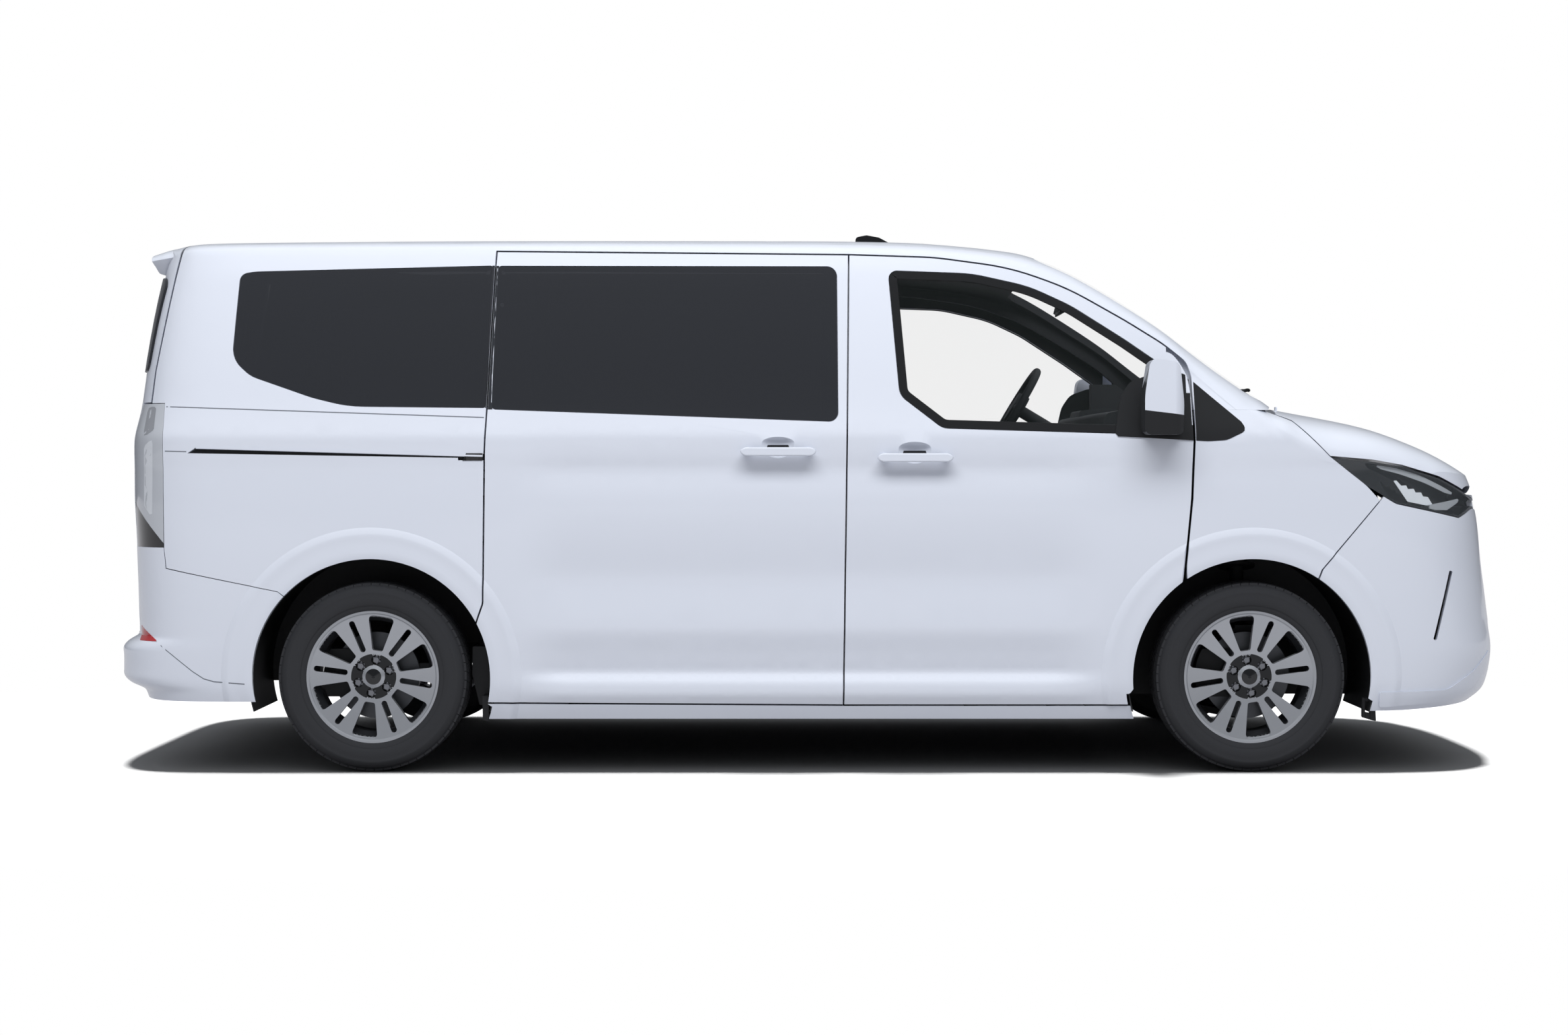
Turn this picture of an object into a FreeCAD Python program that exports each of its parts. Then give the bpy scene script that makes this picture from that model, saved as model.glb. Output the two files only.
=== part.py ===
"""Medium minibus, short wheelbase, right and left sliding doors, one-piece tailgate.

Millimetres. X points forward, Y to the left, Z up. The origin is on the ground, in the middle of the
overall length and width. The right side is modelled and mirrored for the left.
"""
import FreeCAD, Part
import math
import os

V = FreeCAD.Vector

# Driving dimensions
FRONT_AXLE_X = 1540.0
REAR_AXLE_X = -1560.0
HALF_TRACK = 872.0
TYRE_RADIUS = 336.0
ARCH_RADIUS = 419.0
ARCH_FLARE_RADIUS = 548.0
ARCH_FLARE_RISE = 8.0
FLARE_DEPTH = 13.0
LINER_RADIUS = 432.0
LINER_WALL = 4.0
LINER_INNER_Y = 556.0

BODY_HALF_WIDTH = 1010.0
ROOF_HEIGHT = 1920.0
NOSE_START_X = 1650.0
TAIL_START_X = -1900.0
BUMPER_TIP_X = -2525.0
SILL_Z = 238.0
GROUND_CLEARANCE = 188.0
FLOOR_TOP = 520.0
FLOOR_THICKNESS = 50.0

SHUT_GAP = 6.0
SEAT_GAP = 0.3
GLASS_THICKNESS = 5.0
DOOR_THICKNESS = 80.0
DOOR_FRAME_THICKNESS = 38.0
PILLAR_DEPTH = 45.0
GLASS_FLANGE = 26.0

DOOR_HINGE_X = 1245.0
DOOR_HINGE_Y = 975.0
DOOR_HINGE_HEIGHTS = (740.0, 1080.0)
POST_OUTER_Y = -872.0
POST_INNER_Y = -802.0
POST_REAR_X = 1120.0
HINGE_PIN_RADIUS = 6.0
PIN_CLEARANCE = 0.05

NODES = {}


def keep(name, *shapes):
    """Files the solids of one sub-part under its name."""
    NODES[name] = shapes[0] if len(shapes) == 1 else Part.makeCompound(list(shapes))


def mirrored(shape):
    """The same shape on the other side of the vehicle."""
    return shape.mirror(V(0, 0, 0), V(0, 1, 0))


# Curves and surfaces

def curve(*points):
    """Smooth value through (place, value) pairs that never swings past them."""
    places = [p[0] for p in points]
    values = [p[1] for p in points]
    last = len(points) - 1
    steps = [(values[i + 1] - values[i]) / (places[i + 1] - places[i]) for i in range(last)]
    slopes = [steps[0]]
    for before, after in zip(steps, steps[1:]):
        slopes.append(0.0 if before * after <= 0 else 2 * before * after / (before + after))
    slopes.append(steps[-1])

    def value(place):
        if place <= places[0]:
            return values[0] + slopes[0] * (place - places[0])
        if place >= places[last]:
            return values[last] + slopes[last] * (place - places[last])
        i = next(k for k in range(last) if place <= places[k + 1])
        span = places[i + 1] - places[i]
        t = (place - places[i]) / span
        rise = t * t * (3 - 2 * t)
        return (values[i] * (1 - rise) + values[i + 1] * rise
                + span * (slopes[i] * t * (1 - t) ** 2 - slopes[i + 1] * t * t * (1 - t)))

    return value


def ease(t):
    """0 to 1 with level ends."""
    t = min(max(t, 0.0), 1.0)
    return t * t * (3 - 2 * t)


def spread(first, last, step):
    """Evenly spaced values from first to last, about a step apart."""
    count = max(1, round(abs(last - first) / step))
    return [first + (last - first) * i / count for i in range(count + 1)]


def places_along(lines):
    """Places from 0 to 1 of the points on several like lines, by their mean distance apart."""
    steps = [sum((line[j + 1] - line[j]).Length for line in lines) for j in range(len(lines[0]) - 1)]
    total = sum(steps)
    return [sum(steps[:j]) / total for j in range(len(steps))] + [1.0]


def threaded(points, places):
    spline = Part.BSplineCurve()
    spline.interpolate(Points=points, Parameters=places)
    return spline


def patch(grid):
    """Smooth surface through every point of a grid."""
    rows = places_along(grid)
    columns = places_along([list(column) for column in zip(*grid)])
    across = [threaded(list(row), rows) for row in grid]
    along = [threaded(list(line), columns) for line in zip(*[spline.getPoles() for spline in across])]
    poles = [list(row) for row in zip(*[spline.getPoles() for spline in along])]
    surface = Part.BSplineSurface()
    surface.buildFromPolesMultsKnots(poles, along[0].getMultiplicities(), across[0].getMultiplicities(),
                                     along[0].getKnots(), across[0].getKnots(), False, False, 3, 3)
    return surface


def edge_curves(surface):
    u0, u1, v0, v1 = surface.bounds()
    return [c.toShape() for c in (surface.uIso(u0), surface.uIso(u1), surface.vIso(v0), surface.vIso(v1))]


def slab(outer, inner):
    """Closed solid between two like grids of points."""
    faces = []
    skins = [patch(outer), patch(inner)]
    for skin in skins:
        faces.append(skin.toShape())
    for first, second in zip(edge_curves(skins[0]), edge_curves(skins[1])):
        faces.append(Part.makeRuledSurface(first, second))
    shell = Part.makeCompound(faces)
    shell.sewShape(0.01)
    solid = Part.Solid(shell.Shells[0])
    if solid.Volume < 0:
        solid.reverse()
    return solid


# Outlines

def rounded(points, plane="XZ", y=0.0):
    """Closed outline through corners (a, b) or (a, b, radius), on a plane."""
    count = len(points)
    ends = []
    for i in range(count):
        a, b = points[i][0], points[i][1]
        radius = points[i][2] if len(points[i]) > 2 else 0.0
        before, after = points[i - 1], points[(i + 1) % count]
        p = (before[0] - a, before[1] - b)
        n = (after[0] - a, after[1] - b)
        lp, ln = math.hypot(*p), math.hypot(*n)
        p, n = (p[0] / lp, p[1] / lp), (n[0] / ln, n[1] / ln)
        bend = math.acos(max(-1.0, min(1.0, p[0] * n[0] + p[1] * n[1])))
        if radius <= 0 or abs(math.pi - bend) < 1e-3:
            ends.append(((a, b), None, (a, b)))
            continue
        reach = min(radius / math.tan(bend / 2), 0.49 * lp, 0.49 * ln)
        radius = reach * math.tan(bend / 2)
        start = (a + p[0] * reach, b + p[1] * reach)
        end = (a + n[0] * reach, b + n[1] * reach)
        bisector = (p[0] + n[0], p[1] + n[1])
        length = math.hypot(*bisector)
        depth = radius / math.sin(bend / 2) - radius
        middle = (a + bisector[0] / length * depth, b + bisector[1] / length * depth)
        ends.append((start, middle, end))

    def place(point):
        if plane == "XZ":
            return V(point[0], y, point[1])
        if plane == "XY":
            return V(point[0], point[1], y)
        return V(y, point[0], point[1])

    edges = []
    for i in range(count):
        start, middle, end = ends[i]
        if middle:
            edges.append(Part.Arc(place(start), place(middle), place(end)).toShape())
        following = ends[(i + 1) % count][0]
        if math.hypot(following[0] - end[0], following[1] - end[1]) > 1e-6:
            edges.append(Part.LineSegment(place(end), place(following)).toShape())
    return Part.Wire(edges)


def prism(points, depth=(-1300.0, 0.0), grow=0.0, plane="XZ"):
    """Outline drawn on a plane, grown or shrunk, and pushed through a depth range."""
    wire = rounded(points, plane, depth[0])
    if grow:
        wire = wire.makeOffset2D(grow)
    way = {"XZ": V(0, 1, 0), "XY": V(0, 0, 1), "YZ": V(1, 0, 0)}[plane]
    return Part.Face(wire).extrude(way * (depth[1] - depth[0]))


def box(x0, x1, y0, y1, z0, z1):
    return Part.makeBox(x1 - x0, y1 - y0, z1 - z0, V(x0, y0, z0))


def rod(start, end, radius):
    way = V(*end) - V(*start)
    return Part.makeCylinder(radius, way.Length, V(*start), way)


# Form of the body

base_section = curve((180, 950), (225, 968), (300, 988), (400, 996), (520, 1002), (680, 1007),
                     (850, 1010), (1000, 1010), (1065, 1009), (1120, 1013), (1180, 1014),
                     (1230, 1002), (1300, 985), (1400, 965), (1500, 944), (1600, 922),
                     (1700, 898), (1790, 873), (1850, 850))
door_section = curve((180, 950), (240, 975), (290, 992), (325, 985), (350, 968), (420, 978),
                     (510, 996), (600, 990), (680, 985), (800, 998), (940, 1008), (1000, 1006),
                     (1065, 1000), (1120, 1008), (1185, 1012), (1230, 1002), (1300, 985),
                     (1400, 965), (1500, 944), (1600, 922), (1700, 898), (1790, 873), (1850, 850))
nose_profile = curve((180, 2385), (230, 2445), (260, 2490), (300, 2513), (420, 2535), (520, 2519),
                     (640, 2502), (720, 2490), (880, 2472), (940, 2460), (1000, 2446), (1100, 2400))
tail_profile = curve((240, -2440), (480, -2462), (800, -2470), (1000, -2478), (1150, -2478),
                     (1300, -2452), (1420, -2438), (1600, -2412), (1780, -2378), (1900, -2350))
DOOR_SCULPT_FRONT = (1080.0, 800.0)
DOOR_SCULPT_REAR = (-1100.0, -850.0)
GREENHOUSE_TAPER = 34.0


def sculpt(x):
    """1 along the doors, 0 at the wheel arches and beyond."""
    front = ease((DOOR_SCULPT_FRONT[0] - x) / (DOOR_SCULPT_FRONT[0] - DOOR_SCULPT_FRONT[1]))
    rear = ease((x - DOOR_SCULPT_REAR[0]) / (DOOR_SCULPT_REAR[1] - DOOR_SCULPT_REAR[0]))
    return front * rear


def half_width(x, z):
    """Distance of the flank from the middle of the vehicle."""
    mix = sculpt(x)
    taper = GREENHOUSE_TAPER * ease((x - 300) / 1200) * ease((z - 1180) / 260)
    return base_section(z) * (1 - mix) + door_section(z) * mix - taper


NOSE_ROUND = (5.1, 2.85)
TAIL_ROUND = (4.9, 5.1)


def wrap_pairs(shape, along, across):
    """(t, v) pairs round a corner, t along the vehicle and v across it."""
    pairs = [(t, (1 - t ** shape[0]) ** (1 / shape[1])) for t in along]
    pairs += [((1 - v ** shape[1]) ** (1 / shape[0]), v) for v in across]
    return pairs


NOSE_PAIRS = wrap_pairs(NOSE_ROUND, (0.0, .1, .2, .3, .4, .5, .59, .67, .74, .8, .85, .89, .925, .95),
                        (.52, .42, .32, .22, .11, 0.0))
TAIL_PAIRS = wrap_pairs(TAIL_ROUND, (0.0, .12, .24, .36, .48, .6, .7, .78, .84, .89, .93, .96, .98),
                        (.54, .44, .33, .22, .11, 0.0))


def nose_point(pair, z, depth=0.0):
    t, v = pair
    reach = nose_profile(z) - depth - NOSE_START_X
    return V(NOSE_START_X + reach * t, -(half_width(NOSE_START_X, z) - depth) * v, z)


def plan_share(t, shape):
    return (1 - min(max(t, 0.0), 1.0) ** shape[0]) ** (1 / shape[1])


def skin_width(x, z):
    """Half width of the outer skin anywhere along the vehicle, corners included."""
    if x > NOSE_START_X:
        t = (x - NOSE_START_X) / (nose_profile(z) - NOSE_START_X)
        return half_width(NOSE_START_X, z) * plan_share(t, NOSE_ROUND)
    if x < TAIL_START_X:
        t = (TAIL_START_X - x) / (TAIL_START_X - tail_profile(z))
        return half_width(TAIL_START_X, z) * plan_share(t, TAIL_ROUND)
    return half_width(x, z)


def skin_point(x, z, depth=0.0):
    return V(x, -(skin_width(x, z) - depth), z)


# Depths of the layers inside the skin of the flank

door_depth = curve((180, DOOR_THICKNESS), (1140, DOOR_THICKNESS), (1250, DOOR_FRAME_THICKNESS),
                   (1900, DOOR_FRAME_THICKNESS))


def recess_depth(z):
    return door_depth(z) + 5.0


def ring_depth(z):
    return recess_depth(z) + PILLAR_DEPTH


# Roof, windscreen and flank in one surface

roof_line = curve((-2440, 1858), (-2400, 1874), (-2330, 1896), (-2250, 1905), (-1700, 1914), (-1166, 1918),
                  (0, ROOF_HEIGHT), (328, 1915), (508, 1903), (733, 1880), (846, 1848), (1015, 1765),
                  (1297, 1578), (1643, 1335), (1760, 1250))
rail_line = curve((-2440, 1815), (-2300, 1833), (-2200, 1842), (-1129, 1845), (157, 1832), (427, 1822),
                  (698, 1784), (901, 1710), (1102, 1597), (1234, 1513), (1312, 1444), (1400, 1362),
                  (1480, 1290), (1560, 1225), (1640, 1160), (1760, 1080))
RAIL_RISE = 0.72
CROWN_REACH = 0.62
ROOF_THICKNESS = 40.0
LOWER_HEIGHTS = [180, 202, 225, 250, 275, 300, 325, 350, 385, 420, 465, 510, 555, 600, 640, 680,
                 740, 800, 870, 940, 1000, 1030, 1055, 1080]
UPPER_SHARES = [.045, .09, .14, .18, .23, .3, .38, .46, .55, .64, .73, .82, .9, .96, 1.0]
LOWER_TOP = 1080.0
CROWN_STEPS = [.07, .14, .22, .32, .44, .58, .72, .86, 1.0]


def body_width(x, z):
    """Width of the skin, held up where the tail corner would take it beyond its last panel."""
    if x > -2290:
        return skin_width(x, z)
    return max(skin_width(x, z), half_width(x, z) * (0.875 + (x + 2290) * 0.0006))


def column_heights(x):
    """Heights on the flank, which close up under the cant rail and the screen pillar."""
    top = rail_line(x)
    return [float(z) for z in LOWER_HEIGHTS] + [LOWER_TOP + (top - LOWER_TOP) * f for f in UPPER_SHARES]


def crown_points(x, depth=0.0, thickness=0.0):
    """From the cant rail up and over to the middle of the roof or screen."""
    z = rail_line(x)
    y = body_width(x, z)
    lean = (body_width(x, z - 40) - y) / 40
    crown = roof_line(x) - thickness
    y -= depth
    rise = (crown - z) * RAIL_RISE
    reach = CROWN_REACH * y
    points = []
    for u in CROWN_STEPS:
        a, b, c = (1 - u) ** 3, 3 * u * (1 - u) ** 2, 3 * u * u * (1 - u)
        across = a * y + b * (y - lean * rise) + c * reach
        up = a * z + b * (z + rise) + (c + u ** 3) * crown
        points.append(V(x, -across, up))
    return points


def half_row(x, depth, thickness):
    points = [V(x, depth(z) - body_width(x, z), z) for z in column_heights(x)]
    return points + crown_points(x, depth(rail_line(x)), thickness)


def full_row(points):
    """A row and its mirror image, which share the point in the middle."""
    return points + [V(p.x, -p.y, p.z) for p in reversed(points[:-1])]


def body_slab(xs, depth_outer, depth_inner, roof_outer, roof_inner):
    return slab([half_row(x, depth_outer, roof_outer) for x in xs],
                [half_row(x, depth_inner, roof_inner) for x in xs])


def offset_grid(grid, depth):
    """The grid moved along its own normals; positive is inwards for rows that run up the right side."""
    moved = []
    last_row, last_col = len(grid) - 1, len(grid[0]) - 1
    for i, row in enumerate(grid):
        line = []
        for j, point in enumerate(row):
            along = grid[min(i + 1, last_row)][j] - grid[max(i - 1, 0)][j]
            up = grid[i][min(j + 1, last_col)] - grid[i][max(j - 1, 0)]
            normal = along.cross(up)
            normal.normalize()
            line.append(point + normal * depth)
        moved.append(line)
    return moved


def nose_grid(zs, depth=0.0):
    """Right flank round the nose to the left flank, one column for each height."""
    right = [[nose_point(pair, z, depth) for z in zs] for pair in NOSE_PAIRS]
    return right + [[V(p.x, -p.y, p.z) for p in row] for row in reversed(right[:-1])]


def tail_grid(zs, depth=0.0, profile=tail_profile):
    right = []
    for t, v in TAIL_PAIRS:
        row = []
        for z in zs:
            reach = TAIL_START_X - profile(z) - depth
            row.append(V(TAIL_START_X - reach * t, -(half_width(TAIL_START_X, z) - depth) * v, z))
        right.append(row)
    return right + [[V(p.x, -p.y, p.z) for p in row] for row in reversed(right[:-1])]


# Shut lines and outlines on the right flank, as (x, z, corner radius)

B_LINE_TOP = (123.0, 1833.0)
B_LINE_FOOT = (103.0, SILL_Z)
C_LINE = [(-1129.0, 1845.0), (-1151.0, 1278.0), (-1158.0, 1124.0), (-1165.0, 599.0), (-1185.0, 539.0)]
FRONT_DOOR_OUTLINE = [B_LINE_FOOT, B_LINE_TOP, (427, 1823, 900), (698, 1786, 900), (901, 1712, 900),
                      (1102, 1597, 1500), (1234, 1514, 500), (1312, 1450, 60), (1329, 1400, 90),
                      (1331, 1167, 600), (1324, 965, 600), (1296, 660, 300), (1200, 420), (1140, SILL_Z)]
SLIDING_DOOR_OUTLINE = [C_LINE[0], C_LINE[1], C_LINE[2], (-1165, 599, 40), (-1200, 500), (-1160, SILL_Z + 8),
                        B_LINE_FOOT, B_LINE_TOP]
QUARTER_WINDOW = [(-1139, 1792, 12), (-1991, 1770, 300), (-2036, 1760, 30), (-2052, 1458, 160),
                  (-1985, 1398, 120), (-1767, 1322, 500), (-1640, 1291, 500), (-1154, 1286, 12)]
SLIDING_WINDOW = [(-1122, 1791, 14), (-1134, 1281, 14), (83, 1237, 32), (80, 1789, 36)]
FRONT_WINDOW = [(262, 1775, 30), (559, 1764, 500), (761, 1719, 500), (909, 1650, 500), (1098, 1529, 800),
                (1290, 1395, 10), (1290, 1196, 10), (1044, 1196, 100), (450, 1214, 60), (300, 1330, 60)]
HEADLAMP_OUTLINE = [(1807, 1112, 4), (1958, 1099, 200), (2063, 1081, 200), (2209, 1040, 300), (2360, 973, 200),
                    (2470, 935), (2470, 905), (2369, 930, 60), (2290, 896, 10), (2042, 948, 60),
                    (1937, 1010, 200)]


def cylinder_y(x, z, radius, y0, y1):
    return Part.makeCylinder(radius, y1 - y0, V(x, y0, z), V(0, 1, 0))


def arch_cut(hub_x, clearance=0.0, lip_inner_y=BODY_HALF_WIDTH - 32):
    """The round opening, wider behind the lip so that the liner fits inside."""
    outer = cylinder_y(hub_x, TYRE_RADIUS, ARCH_RADIUS, -1300, 0)
    inner = cylinder_y(hub_x, TYRE_RADIUS, LINER_RADIUS + LINER_WALL + SEAT_GAP + clearance, -lip_inner_y, 0)
    return outer.fuse(inner)


flare_rise = curve((ARCH_RADIUS - 30, 2.0), (ARCH_RADIUS, 3.5), (430, 6.5), (445, 7.2), (458, 6.4), (468, 5.6),
                   (488, 6.8), (505, ARCH_FLARE_RISE), (518, 4.2), (532, -1.0), (ARCH_FLARE_RADIUS, -6.0))


FLARE_RADII = (ARCH_RADIUS - 6, 425, 433, 441, 450, 459, 468, 480, 492, 501, 509, 518, 527, 537,
               ARCH_FLARE_RADIUS)


def flare(hub_x):
    """Raised band round a wheel arch, in rows that fan out from the hub."""
    outer, inner = [], []
    for angle in spread(-28, 208, 6):
        rows = [], []
        for radius in FLARE_RADII:
            x = hub_x + radius * math.cos(math.radians(angle))
            z = TYRE_RADIUS + radius * math.sin(math.radians(angle))
            rows[0].append(skin_point(x, z, -flare_rise(radius)))
            rows[1].append(skin_point(x, z, FLARE_DEPTH))
        outer.append(rows[0])
        inner.append(rows[1])
    return slab(outer, inner)


# Body side, roof and doors

def zero(z):
    return 0.0


BODY_XS = (spread(-2352, -1150, 60) + spread(-1110, -830, 40) + spread(-780, 760, 90)
           + spread(800, 1100, 43) + spread(1160, 1640, 48))
FLANK_XS = (spread(-1300, -1140, 40) + spread(-1110, -830, 40) + spread(-780, 760, 90)
            + spread(800, 1100, 43) + spread(1145, 1400, 42))
FLANK_HEIGHTS = LOWER_HEIGHTS + [1100, 1125, 1150, 1185, 1208, 1230, 1265, 1300, 1350, 1400, 1450, 1500, 1550,
                                 1600, 1650, 1700, 1745, 1790, 1820, 1850, 1890]


def flank_slab(outer, inner, xs=FLANK_XS, zs=FLANK_HEIGHTS):
    """Between two depths under the skin of the flank, each a function of the height."""
    return slab([[skin_point(x, z, outer(z)) for z in zs] for x in xs],
                [[skin_point(x, z, inner(z)) for z in zs] for x in xs])


def at_depth(depth):
    return lambda z: depth


ROOF_SEAM_Y = 782.0
SCREEN_SEAM_X = 852.0
ROOF_REAR_X = -2260.0
GATE_HINGE = (-2280.0, 1890.0)
GATE_HINGE_YS = (-300.0, 300.0)
GATE_BARREL_RADIUS = 8.0
GATE_PIN_RADIUS = 4.0
GATE_LEAF = 11.0
GATE_LUG = (13.0, 31.0)
GATE_POCKET = (12.0, 36.0)
GATE_NOSE_RADIUS = 14.5
SCREEN_OUTLINE = [(1674, 0, 0), (1668, -300, 2500), (1640, -620, 900), (1590, -836, 60), (1300, -826, 3000),
                  (1000, -800, 2000), (800, -748, 70), (818, -300, 3000), (822, 0, 0)]


def both_halves(points):
    """An XY outline drawn for the right half, closed over the middle."""
    left = [(x, -y) + tuple(rest) for x, y, *rest in reversed(points[1:-1])]
    return points[:1] + points[1:-1] + points[-1:] + left


SCREEN_FULL = both_halves(SCREEN_OUTLINE)


def crown_row(x, depth=0.0, thickness=0.0):
    rail = rail_line(x)
    return full_row([V(x, depth - body_width(x, rail), rail)] + crown_points(x, depth, thickness))


def sunk(grid, depth):
    """The grid moved inwards along its normals."""
    return offset_grid(grid, -depth)


SCREEN_XS = spread(700, 1760, 60)


def screen_slab(outer, inner):
    grid = [crown_row(x) for x in SCREEN_XS]
    return slab(sunk(grid, outer), sunk(grid, inner))


def screen_pocket():
    """What the glass and the daylight opening take out of the roof and the pillars."""
    bed = screen_slab(-60, 1 + GLASS_THICKNESS + SEAT_GAP)
    bed = bed.common(prism(SCREEN_FULL, (1100, 2100), 2.5, "XY"))
    return bed.fuse(prism(SCREEN_FULL, (1100, 2100), -GLASS_FLANGE, "XY"))


def windscreen():
    return screen_slab(1, 1 + GLASS_THICKNESS).common(prism(SCREEN_FULL, (1100, 2100), 0, "XY"))


def roof_panel():
    grid = [crown_row(x) for x in BODY_XS if x < 1000]
    inner = [crown_row(x, 88.0, ROOF_THICKNESS) for x in BODY_XS if x < 1000]
    panel = slab(grid, inner)
    panel = panel.common(box(ROOF_REAR_X, SCREEN_SEAM_X, -ROOF_SEAM_Y, ROOF_SEAM_Y, 1500, 2000))
    panel = panel.cut(screen_pocket())
    x, z = GATE_HINGE
    lugs = []
    for y in GATE_HINGE_YS:
        lugs.append(cylinder_y(x, z, GATE_PIN_RADIUS, y - GATE_LUG[1], y + GATE_LUG[1]))
        for low, high in ((y - GATE_LUG[1], y - GATE_LUG[0]), (y + GATE_LUG[0], y + GATE_LUG[1])):
            lugs.append(cylinder_y(x, z, GATE_BARREL_RADIUS, low, high))
            lugs.append(box(x, ROOF_REAR_X + 10, low, high, z - GATE_BARREL_RADIUS, z + 2))
    return main_solid(panel.multiFuse(lugs))


def glass_bed(outline):
    """Pocket and daylight opening for a pane set flush in the flank."""
    bed = flank_slab(at_depth(-60), at_depth(1 + GLASS_THICKNESS + SEAT_GAP),
                     BODY_XS[:60]).common(prism(outline, grow=1.5))
    return bed.fuse(prism(outline, grow=-GLASS_FLANGE))


def pane(outline):
    return flank_slab(at_depth(1), at_depth(1 + GLASS_THICKNESS), BODY_XS[:60]).common(prism(outline))


SIDE_OUTLINE = [(ROOF_REAR_X, 1990), (ROOF_REAR_X, 1850), (-2337, 1419), (-2347, 1303.5), (-2292, 1303.5),
                (-2290, 790), (-2282, 722), (-1884, 641), (-1700, 500), (-1149, GROUND_CLEARANCE),
                (1128, GROUND_CLEARANCE),
                (1290, 600), (1290, 1279), (1605, 1279), (1650, 1300), (1650, 1990)]
RAIL_SLOT = [(-2200, 1126), (-2160, 1153), (-1160, 1124), (-1160, 1101), (-1250, 1101), (-1250, 1110)]
HINGE_ARM_THICKNESS = 20.0


def hinge_axis(z0, z1, radius):
    return rod((DOOR_HINGE_X, -DOOR_HINGE_Y, z0), (DOOR_HINGE_X, -DOOR_HINGE_Y, z1), radius)


DOOR_FRONT_LINE = [(1505, 1300), (1400, 1329), (1300, 1331), (1230, 1331), (1167, 1331), (965, 1324),
                   (800, 1309), (660, 1296), (180, 1296)]


def nose_sweep(growth):
    """Room that the front edge of the door turns in about its hinge, with the shut line's half gap added."""
    side = []
    for z, x in DOOR_FRONT_LINE:
        outboard = max(0.0, half_width(x, z) - DOOR_HINGE_Y)
        side.append(V(DOOR_HINGE_X + math.hypot(x + growth - DOOR_HINGE_X, outboard), -DOOR_HINGE_Y, z))
    axis = [V(DOOR_HINGE_X, -DOOR_HINGE_Y, DOOR_FRONT_LINE[end][0]) for end in (-1, 0)]
    corners = side + axis
    face = Part.Face(Part.makePolygon(corners + corners[:1]))
    return face.revolve(V(DOOR_HINGE_X, -DOOR_HINGE_Y, 0), V(0, 0, 1), 360).Solids[0]


def door_recess(outline, gap):
    hole = flank_slab(at_depth(-80), recess_depth).common(prism(outline, grow=gap))
    return hole


def hollow(outline, flange, arch_x):
    """Opening inside the flange of a door frame, above the sill."""
    hole = prism(outline, grow=-flange).cut(cylinder_y(arch_x, TYRE_RADIUS, 478, -1300, 0))
    return hole.common(box(-2500, 1700, -1300, 0, FLOOR_TOP - 12, 2000))


def side_panel():
    """Sill, pillars, quarter and cant rail of the right side, with the hinge post of the front door."""
    region = prism(SIDE_OUTLINE)
    inboard = -ROOF_SEAM_Y - SEAT_GAP
    plan = prism([(-2500, inboard), (SCREEN_SEAM_X + SEAT_GAP, inboard), (SCREEN_SEAM_X + SEAT_GAP, -200),
                  (1700, -200), (1700, -1300), (-2500, -1300)], (100, 2100), 0, "XY")
    ring = body_slab(BODY_XS, zero, ring_depth, 0.0, ROOF_THICKNESS).common(region.common(plan))
    ring = ring.fuse(flare(REAR_AXLE_X).common(region))
    ring = ring.cut([screen_pocket(), glass_bed(QUARTER_WINDOW), arch_cut(REAR_AXLE_X), arch_cut(FRONT_AXLE_X),
                     door_recess(FRONT_DOOR_OUTLINE, SHUT_GAP / 2),
                     door_recess(SLIDING_DOOR_OUTLINE, SHUT_GAP / 2),
                     hollow(FRONT_DOOR_OUTLINE, 35, FRONT_AXLE_X),
                     hollow(SLIDING_DOOR_OUTLINE, 42, REAR_AXLE_X),
                     prism(RAIL_SLOT, (-1300, -(BODY_HALF_WIDTH - 24))), nose_sweep(SHUT_GAP / 2),
                     box(1150, 1342, -950, -876, 180, 1290),
                     box(1500, 1700, -795, -150, 1200, 1500)])
    wheel_room = cylinder_y(FRONT_AXLE_X, TYRE_RADIUS, LINER_RADIUS + LINER_WALL + SEAT_GAP, -1300, 0)
    post = box(1170, 1346, POST_OUTER_Y, POST_INNER_Y, 560, 1240).cut(wheel_room)
    foot = box(POST_REAR_X, 1190, -890, POST_INNER_Y, 330, 1240).cut(wheel_room)
    head = prism([(1186, 1200), (1346, 1200), (1346, 1375), (1290, 1420), (1186, 1420)],
                 (POST_OUTER_Y, POST_INNER_Y))
    parts = [post, foot, head]
    for z in DOOR_HINGE_HEIGHTS:
        low, high = z - HINGE_ARM_THICKNESS / 2, z + HINGE_ARM_THICKNESS / 2
        arm = box(DOOR_HINGE_X - 12, DOOR_HINGE_X + 12, -DOOR_HINGE_Y, -870, low, high)
        arm = arm.fuse(hinge_axis(low, high, 12))
        parts.append(arm.cut(hinge_axis(z - 20, z + 20, HINGE_PIN_RADIUS + PIN_CLEARANCE)))
    return main_solid(main_solid(ring).multiFuse(parts))


def main_solid(shape):
    """The largest solid, without the crumbs that a cut can leave."""
    return max(shape.Solids, key=lambda solid: solid.Volume)


def door_solid(outline, xs):
    body = slab([[skin_point(x, z) for z in FLANK_HEIGHTS] for x in xs],
                [[skin_point(x, z, door_depth(z)) for z in FLANK_HEIGHTS] for x in xs])
    return body.common(prism(outline, grow=-SHUT_GAP / 2))


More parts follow.
